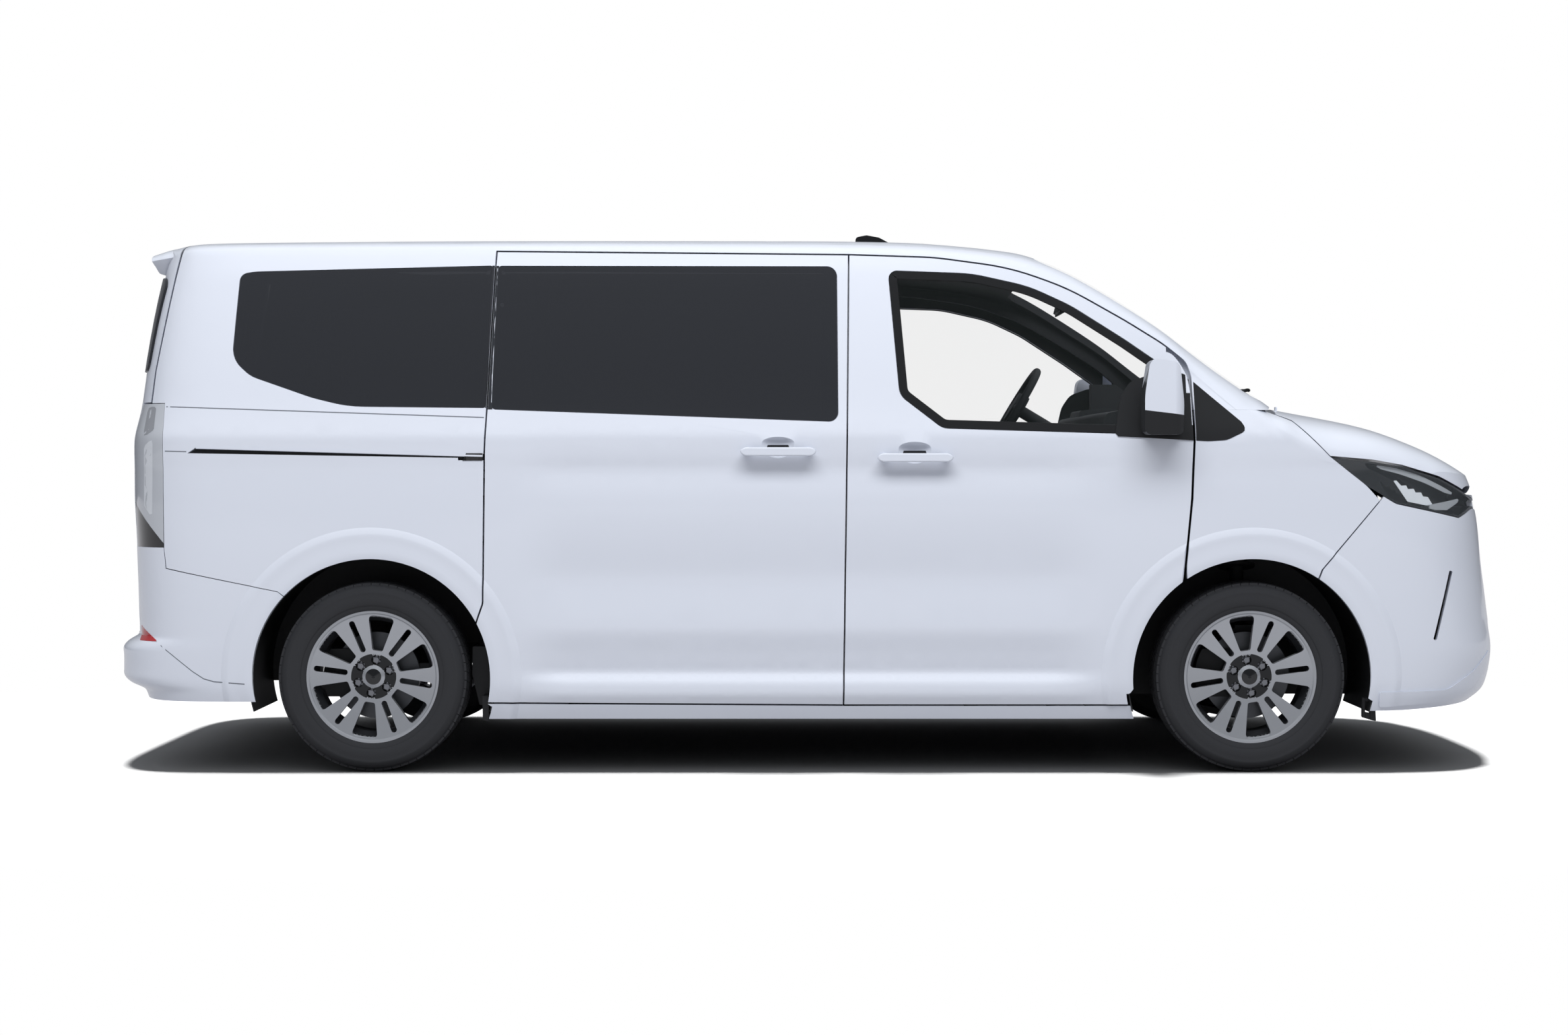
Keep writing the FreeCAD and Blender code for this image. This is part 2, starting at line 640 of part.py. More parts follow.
def handle(x0, x1, z0, z1, cup_x, cup_z):
    """Pull handle standing off the skin on two feet, and the finger cup behind it."""
    mid_z = (z0 + z1) / 2
    face = skin_width((x0 + x1) / 2, mid_z)
    height = z1 - z0
    bar = prism([(x0, z0, height / 2), (x1, z0, height / 2), (x1, z1, height / 2), (x0, z1, height / 2)],
                (-face - 44, -face - 22))
    bar = bar.makeFillet(8, [e for e in bar.Edges if abs(e.CenterOfMass.y + face + 44) < 0.01])
    feet = [cylinder_y(x, mid_z, height / 2 - 6, -face - 30, -face + 12) for x in (x0 + 24, x1 - 24)]
    ball_radius = 75.0
    cup = Part.makeSphere(ball_radius, V(cup_x, -face - ball_radius + 24, cup_z))
    return bar.multiFuse(feet), cup


SLIDING_HANDLE = (-260, 5, 1109, 1154, -128, 1160)
DOOR_LIP_Y = 991.0
FRONT_HANDLE = (220, 485, 1088, 1133, 352, 1140)
FRONT_DOOR_XS = spread(60, 760, 70) + spread(800, 1100, 43) + spread(1145, 1400, 42)
SLIDING_DOOR_XS = spread(-1260, -1140, 40) + spread(-1110, -830, 40) + spread(-780, 180, 80)


def window_cut(outline, xs):
    zs = [z for z in FLANK_HEIGHTS if z > 1100]
    bed = slab([[skin_point(x, z, -60) for z in zs] for x in xs],
               [[skin_point(x, z, 1 + GLASS_THICKNESS + SEAT_GAP) for z in zs] for x in xs])
    return bed.common(prism(outline, grow=1.5)).fuse(prism(outline, grow=-GLASS_FLANGE))


def window_pane(outline, xs):
    zs = [z for z in FLANK_HEIGHTS if z > 1100]
    return slab([[skin_point(x, z, 1.0) for z in zs] for x in xs],
                [[skin_point(x, z, 1.0 + GLASS_THICKNESS) for z in zs] for x in xs]).common(prism(outline))


def sliding_door():
    door = door_solid(SLIDING_DOOR_OUTLINE, SLIDING_DOOR_XS)
    band = flare(REAR_AXLE_X).common(prism(SLIDING_DOOR_OUTLINE, grow=-SHUT_GAP / 2))
    door = door.fuse(band).cut(arch_cut(REAR_AXLE_X))
    door = door.cut(window_cut(SLIDING_WINDOW, SLIDING_DOOR_XS))
    grip, cup = handle(*SLIDING_HANDLE)
    return main_solid(door.cut(cup).fuse(grip))


def front_door():
    door = door_solid(FRONT_DOOR_OUTLINE, FRONT_DOOR_XS)
    band = flare(FRONT_AXLE_X).common(prism(FRONT_DOOR_OUTLINE, grow=-SHUT_GAP / 2))
    door = door.fuse(band).cut(arch_cut(FRONT_AXLE_X, clearance=9.0, lip_inner_y=DOOR_LIP_Y))
    door = door.cut(window_cut(FRONT_WINDOW, FRONT_DOOR_XS))
    grip, cup = handle(*FRONT_HANDLE)
    door = door.cut(cup).fuse(grip)
    nose = box(DOOR_HINGE_X, 1500, -1300, -700, DOOR_FRONT_LINE[-1][0] + 1, DOOR_FRONT_LINE[0][0] - 1)
    door = door.cut(nose.cut(nose_sweep(-SHUT_GAP / 2)))
    for z in DOOR_HINGE_HEIGHTS:
        reach = HINGE_ARM_THICKNESS / 2 + 5
        pocket = box(DOOR_HINGE_X - 26, DOOR_HINGE_X + 120, -DOOR_HINGE_Y - 20, -800, z - reach, z + reach)
        pocket = pocket.cut(hinge_axis(z - 40, z + 40, HINGE_PIN_RADIUS))
        door = door.cut(pocket)
    return main_solid(door)


# Front end

hood_line = curve((1260, 1340), (1560, 1308), (1650, 1300), (1749, 1286), (1997, 1236), (2140, 1187),
                  (2305, 1112), (2414, 1046), (2458, 992), (2540, 880))
hood_rail = curve((1260, 1300), (1480, 1288), (1560, 1260), (1620, 1212), (1700, 1152), (1807, 1102),
                  (1958, 1088), (2063, 1068), (2209, 1026), (2360, 957), (2450, 900), (2540, 830))
hood_front_width = curve((2150, 968), (2209, 948), (2290, 900), (2360, 840), (2450, 740), (2540, 640))
HOOD_RISE = 0.75
HOOD_REACH = 0.8
HOOD_STEPS = [.06, .12, .19, .27, .36, .47, .6, .74, .87, 1.0]
BONNET_THICKNESS = 20.0


def hood_width(x):
    """Half width at the edge of the bonnet's crown."""
    mix = ease((x - 2080) / 120)
    return skin_width(min(x, 2200), hood_rail(min(x, 2200))) * (1 - mix) + hood_front_width(x) * mix


def hood_points(x):
    y, z = hood_width(x), hood_rail(x)
    crown = hood_line(x)
    rise = HOOD_RISE * (crown - z)
    lean = min(max((skin_width(x, z - 30) - y) / 30, -0.2), 0.6) if x < 2100 else 0.1
    points = []
    for u in HOOD_STEPS:
        a, b, c = (1 - u) ** 3, 3 * u * (1 - u) ** 2, 3 * u * u * (1 - u)
        points.append(V(x, -(a * y + b * (y - lean * rise) + c * HOOD_REACH * y),
                        a * z + b * (z + rise) + (c + u ** 3) * crown))
    return points


def hood_row(x):
    return full_row([V(x, -hood_width(x), hood_rail(x))] + hood_points(x))


HOOD_XS = spread(1560, 2300, 50) + spread(2330, 2520, 30)
BONNET_HINGE = (1600.0, 1285.0)
BONNET_HINGE_Y = 640.0
BONNET_SIDE = [(1500, 1276), (1607, 1274), (1689, 1243), (1808, 1117), (1958, 1104), (2063, 1086), (2209, 1045),
               (2360, 978, 60), (2600, 978), (2600, 1500), (1500, 1500)]
BONNET_REAR = [(1706, 0), (1702, -250, 2500), (1686, -520, 1500), (1650, -780, 900), (1622, -1100),
               (2600, -1100),
               (2600, 0)]


def nose_block():
    """Everything inside the nose, from the bumper to above the bonnet's edge."""
    zs = spread(860, 1330, 47)
    outer = nose_grid(zs)
    inner = [[V(1600, p.y, p.z) for p in row] for row in outer]
    return slab(outer, inner)


def bonnet():
    grid = [hood_row(x) for x in HOOD_XS]
    lid = slab(grid, sunk(grid, BONNET_THICKNESS))
    lid = lid.common(prism(BONNET_SIDE, (-1300, 1300)))
    lid = lid.common(prism(both_halves(BONNET_REAR), (900, 1500), 0, "XY"))
    lid = main_solid(lid.common(nose_block()))
    x, z = BONNET_HINGE
    arm_line = [(x + 9, z - 8), (x + 24, z - 34, 12), (x + 58, z - 44, 20), (x + 84, z - 22), (x + 84, z + 10),
                (x + 150, z + 10), (x + 150, z - 30), (x + 100, z - 62, 20), (x + 50, z - 68, 30),
                (x + 6, z - 52, 20), (x - 9, z - 8)]
    under = slab(sunk(grid, BONNET_THICKNESS / 2), sunk(grid, 130))
    for side in (-1, 1):
        y = side * BONNET_HINGE_Y
        arm = prism(arm_line, (y - 12, y + 12)).common(under.fuse(box(1560, 1690, y - 20, y + 20, 1200, 1300)))
        arm = arm.fuse(cylinder_y(x, z, 13, y - 12, y + 12))
        lid = lid.fuse(main_solid(arm)).cut(cylinder_y(x, z, HINGE_PIN_RADIUS + PIN_CLEARANCE, y - 40, y + 40))
    return main_solid(lid)


WING_INNER_Y = 840.0
WING_INWARD = V(0, 20, -14)
WING_XS = spread(1290, 2110, 45)
WING_OUTLINE = [(1336, 1278.7), (1336, 1167), (1329.5, 965), (1300, 655, 300), (1400, 500), (1700, 500),
                (1779, 717), (1984, 961), (1937, 1012, 200), (1806, 1115), (1686, 1240), (1607, 1272),
                 (1604, 1278.7)]
WING_HEIGHTS = [560, 600, 640, 680, 720, 760, 800, 850, 900, 950, 1000, 1040]
WING_SHARES = [.12, .24, .38, .52, .68, .84, 1.0]


def wing_row(x):
    top = hood_rail(x)
    zs = WING_HEIGHTS + [1040 + (top - 1040) * f for f in WING_SHARES]
    flank = [skin_point(x, z) for z in zs]
    return flank + hood_points(x)[:7]


def front_wing():
    grid = [wing_row(x) for x in WING_XS]
    region = prism(WING_OUTLINE, (-1300, -WING_INNER_Y))
    lining = [[p + WING_INWARD for p in row] for row in grid]
    wing = slab(grid, lining).common(region).fuse(flare(FRONT_AXLE_X).common(region))
    return main_solid(wing.cut([arch_cut(FRONT_AXLE_X), nose_sweep(SHUT_GAP / 2)]))


def nose_slab(low, high, outer, inner, step=28):
    zs = spread(low, high, step)
    return slab(nose_grid(zs, outer), nose_grid(zs, inner))


BUMPER_THICKNESS = 20.0
BUMPER_LIP_Y = BODY_HALF_WIDTH - 28
BUMPER_SIDE = [(1500, 214), (2080, 218), (2450, 238), (2700, 262), (2700, 974), (1998, 974), (1989.5, 961.5),
               (1785.5, 717.5), (1706, 497), (1500, 497)]
GRILLE_Z = (700.0, 958.0)
INTAKE_Z = (340.0, 520.0)
GRILLE_HALF_WIDTH = 540.0
INTAKE_HALF_WIDTH = 700.0
AIR_SLOT = [(2246, 712, 5), (2259, 709, 5), (2196, 466, 5), (2183, 469, 5)]


def front_bumper():
    skin = nose_slab(GROUND_CLEARANCE - 1, 976, 0, BUMPER_THICKNESS)
    for side in (1, -1):
        band = flare(FRONT_AXLE_X).common(box(1640, 2200, -1300, 0, 150, 980))
        band = band if side == 1 else mirrored(band)
        skin = skin.fuse(band)
    skin = skin.common(prism(BUMPER_SIDE, (-1300, 1300)))
    lamp = prism(HEADLAMP_OUTLINE, (-1300, -562), SEAT_GAP)
    slot = prism(AIR_SLOT, (-1300, -600))
    arch = arch_cut(FRONT_AXLE_X, lip_inner_y=BUMPER_LIP_Y)
    for tool in (lamp, slot, arch):
        skin = skin.cut(tool).cut(mirrored(tool))
    skin = skin.cut(rect_hole(GRILLE_HALF_WIDTH, GRILLE_Z, 40)).cut(rect_hole(INTAKE_HALF_WIDTH, INTAKE_Z, 50))
    return main_solid(skin)


def rect_hole(half_width_y, heights, radius, x0=2000.0, x1=2800.0, grow=0.0):
    low, high = heights
    outline = [(-half_width_y, low, radius), (half_width_y, low, radius), (half_width_y, high, radius),
               (-half_width_y, high, radius)]
    return prism(outline, (x0, x1), grow, "YZ")


BAR_HEIGHTS = (729.0, 774.0, 817.0)
GRILLE_PLATE = 6.0


def grilles():
    """Upper grille with its proud bars, and the screen of the lower intake."""
    depth = BUMPER_THICKNESS + SEAT_GAP
    upper = nose_slab(690, 970, depth, depth + GRILLE_PLATE)
    upper = upper.common(rect_hole(GRILLE_HALF_WIDTH + 22, (692, 968), 50))
    for z in BAR_HEIGHTS:
        bar = nose_slab(z - 9, z + 9, -5, depth + 2, 6)
        upper = upper.fuse(bar.common(rect_hole(GRILLE_HALF_WIDTH - 3, GRILLE_Z, 38)))
    lower = nose_slab(318, 534, depth, depth + GRILLE_PLATE)
    lower = lower.common(rect_hole(INTAKE_HALF_WIDTH + 18, (320, 532), 50))
    for z in (380.0, 425.0, 470.0):
        bar = nose_slab(z - 6, z + 6, 8, depth + 2, 4)
        lower = lower.fuse(bar.common(rect_hole(INTAKE_HALF_WIDTH - 3, INTAKE_Z, 48)))
    return [main_solid(upper), main_solid(lower)]


def headlamp(outer, inner, grow):
    return nose_slab(880, 1130, outer, inner).common(prism(HEADLAMP_OUTLINE, (-1300, -564), grow))


LENS_THICKNESS = 4.0


def headlamp_lens():
    return main_solid(headlamp(0.5, 0.5 + LENS_THICKNESS, -2.5))


def headlamp_housing():
    bowl = headlamp(0.5 + LENS_THICKNESS + SEAT_GAP, 95, -2.5)
    return main_solid(bowl.cut(headlamp(-5, 80, -9)))


# Rear end

bumper_profile = curve((240, -2430), (283, -2450), (305, -2500), (330, BUMPER_TIP_X), (430, BUMPER_TIP_X),
                       (455, -2500), (475, -2468), (520, -2464), (720, -2470), (800, -2472))
REAR_BUMPER_HEIGHTS = [240, 262, 283, 294, 305, 317, 330, 355, 380, 405, 430, 443, 455, 465, 475, 497, 520, 570,
                       620, 670, 720, 760, 800]
REAR_BUMPER_SIDE = [(-2600, 793.7), (-2292, 793.7), (-2285, 719.5), (-1884, 638.5), (-1700, 480), (-1700, 250),
                    (-2600, 250)]
REAR_BUMPER_THICKNESS = 25.0
GATE_SIDE = [(-2267.5, 1990), (-2267.5, 1850), (-2343.5, 1419), (-2354, 1307), (-2354, 480), (-2700, 480),
             (-2700, 1990)]
GATE_REAR = [(0, 495), (-790, 495, 12), (-800, 560, 100), (-806, 788, 300), (-812, 1307), (-1100, 1307),
             (-1100, 1990), (0, 1990)]
GATE_THICKNESS = 55.0


def rear_bumper():
    flanks = [-1690.0, -1760.0, -1830.0]
    rows = []
    for depth in (0.0, REAR_BUMPER_THICKNESS):
        side = [[skin_point(x, z, depth) for z in REAR_BUMPER_HEIGHTS] for x in flanks]
        far = [[V(p.x, -p.y, p.z) for p in row] for row in reversed(side)]
        rows.append(side + tail_grid(REAR_BUMPER_HEIGHTS, depth, bumper_profile) + far)
    skin = slab(rows[0], rows[1])
    band = flare(REAR_AXLE_X).common(box(-2200, -1660, -1300, 0, 150, 700))
    skin = skin.fuse(band).fuse(mirrored(band)).common(prism(REAR_BUMPER_SIDE, (-1300, 1300)))
    skin = skin.cut(box(-2700, -2000, -811, 811, 485, 900))
    arch = arch_cut(REAR_AXLE_X)
    return main_solid(skin.cut(arch).cut(mirrored(arch)))


def tail_slab(low, high, outer, inner, step=34):
    zs = spread(low, high, step)
    return slab(tail_grid(zs, outer), tail_grid(zs, inner))


def above_roof():
    """Space over the roof, to trim the head of the tailgate."""
    grid = [crown_row(x) for x in spread(-2440, -2200, 40)]
    return slab([[p + V(0, 0, 200) for p in row] for row in grid], grid)


LIP_SIDE = [(-2200, 1990), (-2200, 1700), (-2385, 1790), (-2406, 1852), (-2396, 1990)]
LOBE_SIDE = [(-2316, 1990), (-2316, 1766), (-2382, 1780, 12), (-2401, 1845), (-2396, 1990)]
LOBE_HALF_WIDTH = 850.0


def tailgate():
    gate = tail_slab(490, 1890, 0, GATE_THICKNESS).cut(above_roof())
    grid = [crown_row(x) for x in spread(-2440, -2240, 33)]
    lip = slab(grid, sunk(grid, 26)).common(prism(LIP_SIDE, (-1300, 1300)))
    lobe = slab(sunk(grid, 3), sunk(grid, 130)).common(prism(LOBE_SIDE, (-LOBE_HALF_WIDTH, LOBE_HALF_WIDTH)))
    gate = gate.fuse(lip).fuse(lobe).common(prism(GATE_SIDE, (-1300, 1300)))
    gate = gate.common(prism(gate_outline(), (-2700, -2200), 0, "YZ"))
    gate = main_solid(gate)
    window = [(-760, 1450, 60), (760, 1450, 60), (742, 1722, 60), (-742, 1722, 60)]
    gate = gate.cut(prism(window, (-2700, -2200), 0, "YZ"))
    x, z = GATE_HINGE
    nose = box(x, x + 60, -900, 900, z, z + 60)
    gate = gate.cut(nose.cut(cylinder_y(x, z, GATE_NOSE_RADIUS, -901, 901)))
    for y in GATE_HINGE_YS:
        pocket = cylinder_y(x, z, GATE_POCKET[0], y - GATE_POCKET[1], y + GATE_POCKET[1])
        slot = box(x, x + 60, y - GATE_POCKET[1], y + GATE_POCKET[1], z - GATE_POCKET[0], z + 60)
        gate = gate.cut(pocket.fuse(slot))
        leaf = box(x - 40, x, y - GATE_LEAF, y + GATE_LEAF, z - 24, z)
        leaf = leaf.fuse(cylinder_y(x, z, GATE_BARREL_RADIUS, y - GATE_LEAF, y + GATE_LEAF))
        gate = gate.fuse(leaf.cut(cylinder_y(x, z, GATE_PIN_RADIUS + PIN_CLEARANCE, y - 40, y + 40)))
    return main_solid(gate)


def gate_outline():
    return GATE_REAR + [(-p[0],) + p[1:] for p in reversed(GATE_REAR[1:-1])]


def tailgate_glass():
    glass = tail_slab(1400, 1780, -7, -SEAT_GAP)
    return main_solid(glass.common(prism([(-822, 1420, 30), (822, 1420, 30), (790, 1757, 50), (-790, 1757, 50)],
                                         (-2700, -2300), 0, "YZ")))


def tail_lamp():
    lamp = tail_slab(780, 1320, 0, 40)
    lamp = lamp.common(box(-2600, -2292.6, -1100, -818, 794, 1301))
    return main_solid(lamp)


# Under the body

def liner(hub_x, wall_foot):
    """Inner arch: a shell over the wheel, and a wall behind it that stops at its foot line."""
    shell = cylinder_y(hub_x, TYRE_RADIUS, LINER_RADIUS + LINER_WALL, -975, -LINER_INNER_Y + LINER_WALL)
    shell = shell.cut(cylinder_y(hub_x, TYRE_RADIUS, LINER_RADIUS, -1000, -LINER_INNER_Y))
    shell = shell.common(box(hub_x - 500, hub_x + 500, -1000, -500, 215, 900))
    below = [(-600, 0), (600, 0)] + wall_foot
    return shell.cut(prism([(hub_x + a, z) for a, z in below], (-LINER_INNER_Y - 1, -500)))


KINGPIN_FOOT = (FRONT_AXLE_X, -790.0, 190.0)
KINGPIN_HEAD = (FRONT_AXLE_X, -650.0, 800.0)


def kingpin(height):
    """Point of the steering axis at a height."""
    share = (height - KINGPIN_FOOT[2]) / (KINGPIN_HEAD[2] - KINGPIN_FOOT[2])
    return (FRONT_AXLE_X, KINGPIN_FOOT[1] + share * (KINGPIN_HEAD[1] - KINGPIN_FOOT[1]), height)


def kingpin_rod(low, high, radius):
    return rod(kingpin(low), kingpin(high), radius)


def front_liner():
    shell = liner(FRONT_AXLE_X, [(600, 240), (-600, 240)])
    shell = shell.cut(kingpin_rod(600, 900, 85))
    shell = shell.cut(nose_sweep(SHUT_GAP))
    return main_solid(shell)


def rear_liner():
    axle_slot = [(600, 225), (330, 225), (330, 430), (-330, 430), (-330, 290), (-600, 290)]
    return main_solid(liner(REAR_AXLE_X, axle_slot))


RAIL_Y = (420.0, 520.0)
RAIL_Z = (395.0, 470.5)
FLOOR_PLAN = [(-2380, 0), (-2380, -540), (-2360, -690), (-2325, -800), (-2290, -860), (POST_REAR_X - SEAT_GAP, -860),
              (POST_REAR_X - SEAT_GAP, POST_INNER_Y + SEAT_GAP), (1412, POST_INNER_Y + SEAT_GAP), (1412, 0)]


def floor_pan():
    """Floor with its two rails, the bulkhead and the strut towers."""
    floor = prism(both_halves(FLOOR_PLAN), (FLOOR_TOP - FLOOR_THICKNESS, FLOOR_TOP), 0, "XY")
    parts = [box(1400, 1412, -790, 790, 500, 1178), box(2230, 2290, -660, 660, 400, 470.5)]
    for side in (-1, 1):
        ys = sorted((side * RAIL_Y[0], side * RAIL_Y[1]))
        parts.append(box(-2300, 2250, ys[0], ys[1], *RAIL_Z))
        ys = sorted((side * 550, side * 505))
        parts.append(box(1480, 1600, ys[0], ys[1], 430, 897))
        ys = sorted((side * 720, side * 505))
        parts.append(box(1470, 1610, ys[0], ys[1], 885, 897))
    floor = floor.multiFuse(parts)
    for hub_x in (FRONT_AXLE_X, REAR_AXLE_X):
        well = cylinder_y(hub_x, TYRE_RADIUS, LINER_RADIUS + LINER_WALL + SEAT_GAP, -1000,
                          -LINER_INNER_Y + LINER_WALL + SEAT_GAP)
        floor = floor.cut(well).cut(mirrored(well))
    bore = kingpin_rod(870, 930, 11 + PIN_CLEARANCE)
    return main_solid(floor.cut(bore).cut(mirrored(bore)))


def front_subframe():
    frame = box(1330, 1760, -380, 380, 230, 280)
    frame = frame.cut(box(1400, 1690, -300, 300, 200, 300))
    parts = []
    for side in (-1, 1):
        for x0, x1 in ((1340, 1400), (1690, 1750)):
            ys = sorted((side * 330, side * 510))
            parts.append(box(x0, x1, ys[0], ys[1], 250, RAIL_Z[0] - SEAT_GAP))
            ys = sorted((side * 320, side * 400))
            parts.append(box(x0, x1, ys[0], ys[1], 178, 260))
        arm = prism([(1340, -322), (1750, -322), (1575, -822, 30), (1505, -822, 30)], (178, 202), 0, "XY")
        arm = arm.cut(prism([(1425, -400), (1665, -400), (1575, -700), (1505, -700)], (150, 220), 0, "XY"))
        arm = arm.cut(kingpin_rod(150, 230, 11 + PIN_CLEARANCE))
        parts.append(arm if side == -1 else mirrored(arm))
    return main_solid(frame.multiFuse(parts))


def caliper(hub_x):
    """Horseshoe over the brake disc, with the slot the disc turns in."""
    ring = cylinder_y(hub_x, TYRE_RADIUS, 185, -895, -825).cut(cylinder_y(hub_x, TYRE_RADIUS, 95, -900, -800))
    ring = ring.cut(cylinder_y(hub_x, TYRE_RADIUS, 162, -876, -840))
    return ring.common(box(hub_x - 200, hub_x - 60, -900, -800, TYRE_RADIUS - 75, TYRE_RADIUS + 95))


def knuckle():
    x = FRONT_AXLE_X
    upright = box(x - 45, x + 45, -838, -800, 226, 500)
    block = cylinder_y(x, TYRE_RADIUS, 52, -838, -790)
    foot = box(x - 30, x + 30, -838, -758, 207, 250)
    head = box(x - 34, x + 34, -838, -700, 452, 512)
    link = box(x - 140, x - 30, -838, -825, TYRE_RADIUS - 50, TYRE_RADIUS + 60)
    strut = kingpin_rod(460, 720, 25)
    seat = kingpin_rod(712, 722, 66)
    top = kingpin_rod(720, 868, 40)
    pin = kingpin_rod(868, 905, 11)
    lower = kingpin_rod(170, 230, 11)
    body = upright.multiFuse([block, foot, head, link, strut, seat, top, pin, lower, caliper(x)])
    body = body.cut(cylinder_y(x, TYRE_RADIUS, STUB_RADIUS + PIN_CLEARANCE, -900, -700))
    return main_solid(body)


def rear_axle():
    parts = [cylinder_y(REAR_AXLE_X, TYRE_RADIUS, 40, -780, 780)]
    for side in (-1, 1):
        hub = cylinder_y(REAR_AXLE_X, TYRE_RADIUS, 52, -838, -770)
        link = box(REAR_AXLE_X - 140, REAR_AXLE_X - 30, -838, -825, TYRE_RADIUS - 50, TYRE_RADIUS + 60)
        end = hub.fuse(link).fuse(caliper(REAR_AXLE_X))
        parts.append(end if side == -1 else mirrored(end))
        ys = sorted((side * 430, side * 510))
        parts.append(box(-1600, -1050, ys[0], ys[1], 350, RAIL_Z[0] - SEAT_GAP))
    beam = parts[0].multiFuse(parts[1:])
    for y0 in (-900, 786):
        beam = beam.cut(cylinder_y(REAR_AXLE_X, TYRE_RADIUS, STUB_RADIUS + PIN_CLEARANCE, y0, y0 + 114))
    return main_solid(beam)


# Wheels

RIM_OUTER = [(234, -961), (234, -953), (222, -950), (218, -925), (205, -905), (205, -830), (218, -805),
             (222, -792), (234, -790), (234, -783)]
RIM_INNER = [(226, -783), (214, -790), (210, -805), (197, -830), (197, -905), (208, -930), (214, -950),
             (226, -961)]
TYRE_SIDES = 36
TYRE_HALF = [(74, TYRE_RADIUS), (98, 322), (107.5, 284), (104, 258), (92, 236.5), (77.6, 236), (76.6, 223.2),
             (62, 220.9), (90, 268), (80, 314)]
SPOKE_PAIRS = 6
SLOT_START = 51.5
FRONT_WHEEL_TURN = 43.0
BOLT_CIRCLE_RADIUS = 59.0
NUT_RADIUS = 10.5
NUT_HEIGHT = 16.0
NUT_WELL_RADIUS = 17.0
NUT_SEAT_Y = -922.0
NUT_BITE = 0.1
HUB_RADIUS = 74.0
DISC_RADIUS = 154.0
STUB_RADIUS = 28.0


def turned(hub_x, profile_edges):
    """Body of revolution about a hub from edges drawn at angle zero."""
    face = Part.Face(Part.Wire(profile_edges))
    solid = face.revolve(V(hub_x, 0, TYRE_RADIUS), V(0, 1, 0), 360)
    if solid.ShapeType != "Solid":
        solid = solid.Solids[0]
    if solid.Volume < 0:
        solid.reverse()
    return solid


def lines(points, closed=True):
    ends = points[1:] + (points[:1] if closed else [])
    return [Part.LineSegment(a, b).toShape() for a, b in zip(points, ends)]


def tyre(hub_x):
    """Tyre of flat facets round the wheel, hollow, on the rim's bead seats."""
    outline = TYRE_HALF + [(-s, r) for s, r in reversed(TYRE_HALF)]
    rings = []
    for k in range(TYRE_SIDES):
        angle = 2 * math.pi * k / TYRE_SIDES
        rings.append([V(hub_x + r * math.cos(angle), -HALF_TRACK - s, TYRE_RADIUS + r * math.sin(angle))
                      for s, r in outline])
    faces = []
    for ring, after in zip(rings, rings[1:] + rings[:1]):
        for i in range(len(outline)):
            j = (i + 1) % len(outline)
            faces.append(Part.Face(Part.makePolygon([ring[i], ring[j], after[j], after[i], ring[i]])))
    solid = Part.makeSolid(Part.makeShell(faces))
    if solid.Volume < 0:
        solid.reverse()
    return solid


def spoke_wheel(hub_x, turn):
    """Rim, six twin spokes, hub, brake disc and stub shaft in one piece."""
    six_ways = [math.radians(60 * i) for i in range(7)]

    def at(r, y):
        return V(hub_x + r, y, TYRE_RADIUS)
    barrel = turned(hub_x, lines([at(r, y) for r, y in RIM_OUTER + RIM_INNER]))
    dish = [(0, -948), (28, -946), (40, -938), (80, -938), (140, -944), (224, -957.5), (224, -952), (212, -931),
            (140, -917), (90, -908), (60, -905), (0, -905)]
    dish = turned(hub_x, lines([at(r, y) for r, y in dish]))

    def cutter(points, angle):
        tool = prism([(hub_x + a, TYRE_RADIUS + b, r) for a, b, r in points], (-1000, -880))
        tool.rotate(V(hub_x, 0, TYRE_RADIUS), V(0, 1, 0), -angle)
        return tool
    slot = [(93, -10, 9.5), (211, -10, 9.5), (211, 10, 9.5), (93, 10, 9.5)]
    window = [(92, -18, 8), (217, -48, 16), (217, 48, 16), (92, 18, 8)]
    tools, nuts = [], []
    for k in range(SPOKE_PAIRS):
        pair_angle = SLOT_START + turn + 360 / SPOKE_PAIRS * k
        between = pair_angle + 180 / SPOKE_PAIRS
        x = hub_x + BOLT_CIRCLE_RADIUS * math.cos(math.radians(between))
        z = TYRE_RADIUS + BOLT_CIRCLE_RADIUS * math.sin(math.radians(between))
        tools += [cutter(slot, pair_angle), cutter(window, between)]
        tools.append(cylinder_y(x, z, NUT_WELL_RADIUS, -1000, NUT_SEAT_Y))
        corners = [(x + NUT_RADIUS * math.cos(a), z + NUT_RADIUS * math.sin(a)) for a in six_ways]
        hexagon = Part.makePolygon([V(cx, NUT_SEAT_Y + NUT_BITE, cz) for cx, cz in corners])
        nuts.append(Part.Face(hexagon).extrude(V(0, -NUT_HEIGHT, 0)))
    dish = dish.cut(Part.makeCompound(tools))
    hub = cylinder_y(hub_x, TYRE_RADIUS, HUB_RADIUS, -912, -868)
    disc = cylinder_y(hub_x, TYRE_RADIUS, DISC_RADIUS, -870, -846)
    stub = cylinder_y(hub_x, TYRE_RADIUS, STUB_RADIUS, -912, -792)
    return main_solid(barrel.multiFuse([dish, hub, disc, stub] + nuts))


# Cabin

def rounded_box(x0, x1, y0, y1, z0, z1, radius):
    return prism([(x0, z0, radius), (x1, z0, radius), (x1, z1, radius), (x0, z1, radius)], (y0, y1))


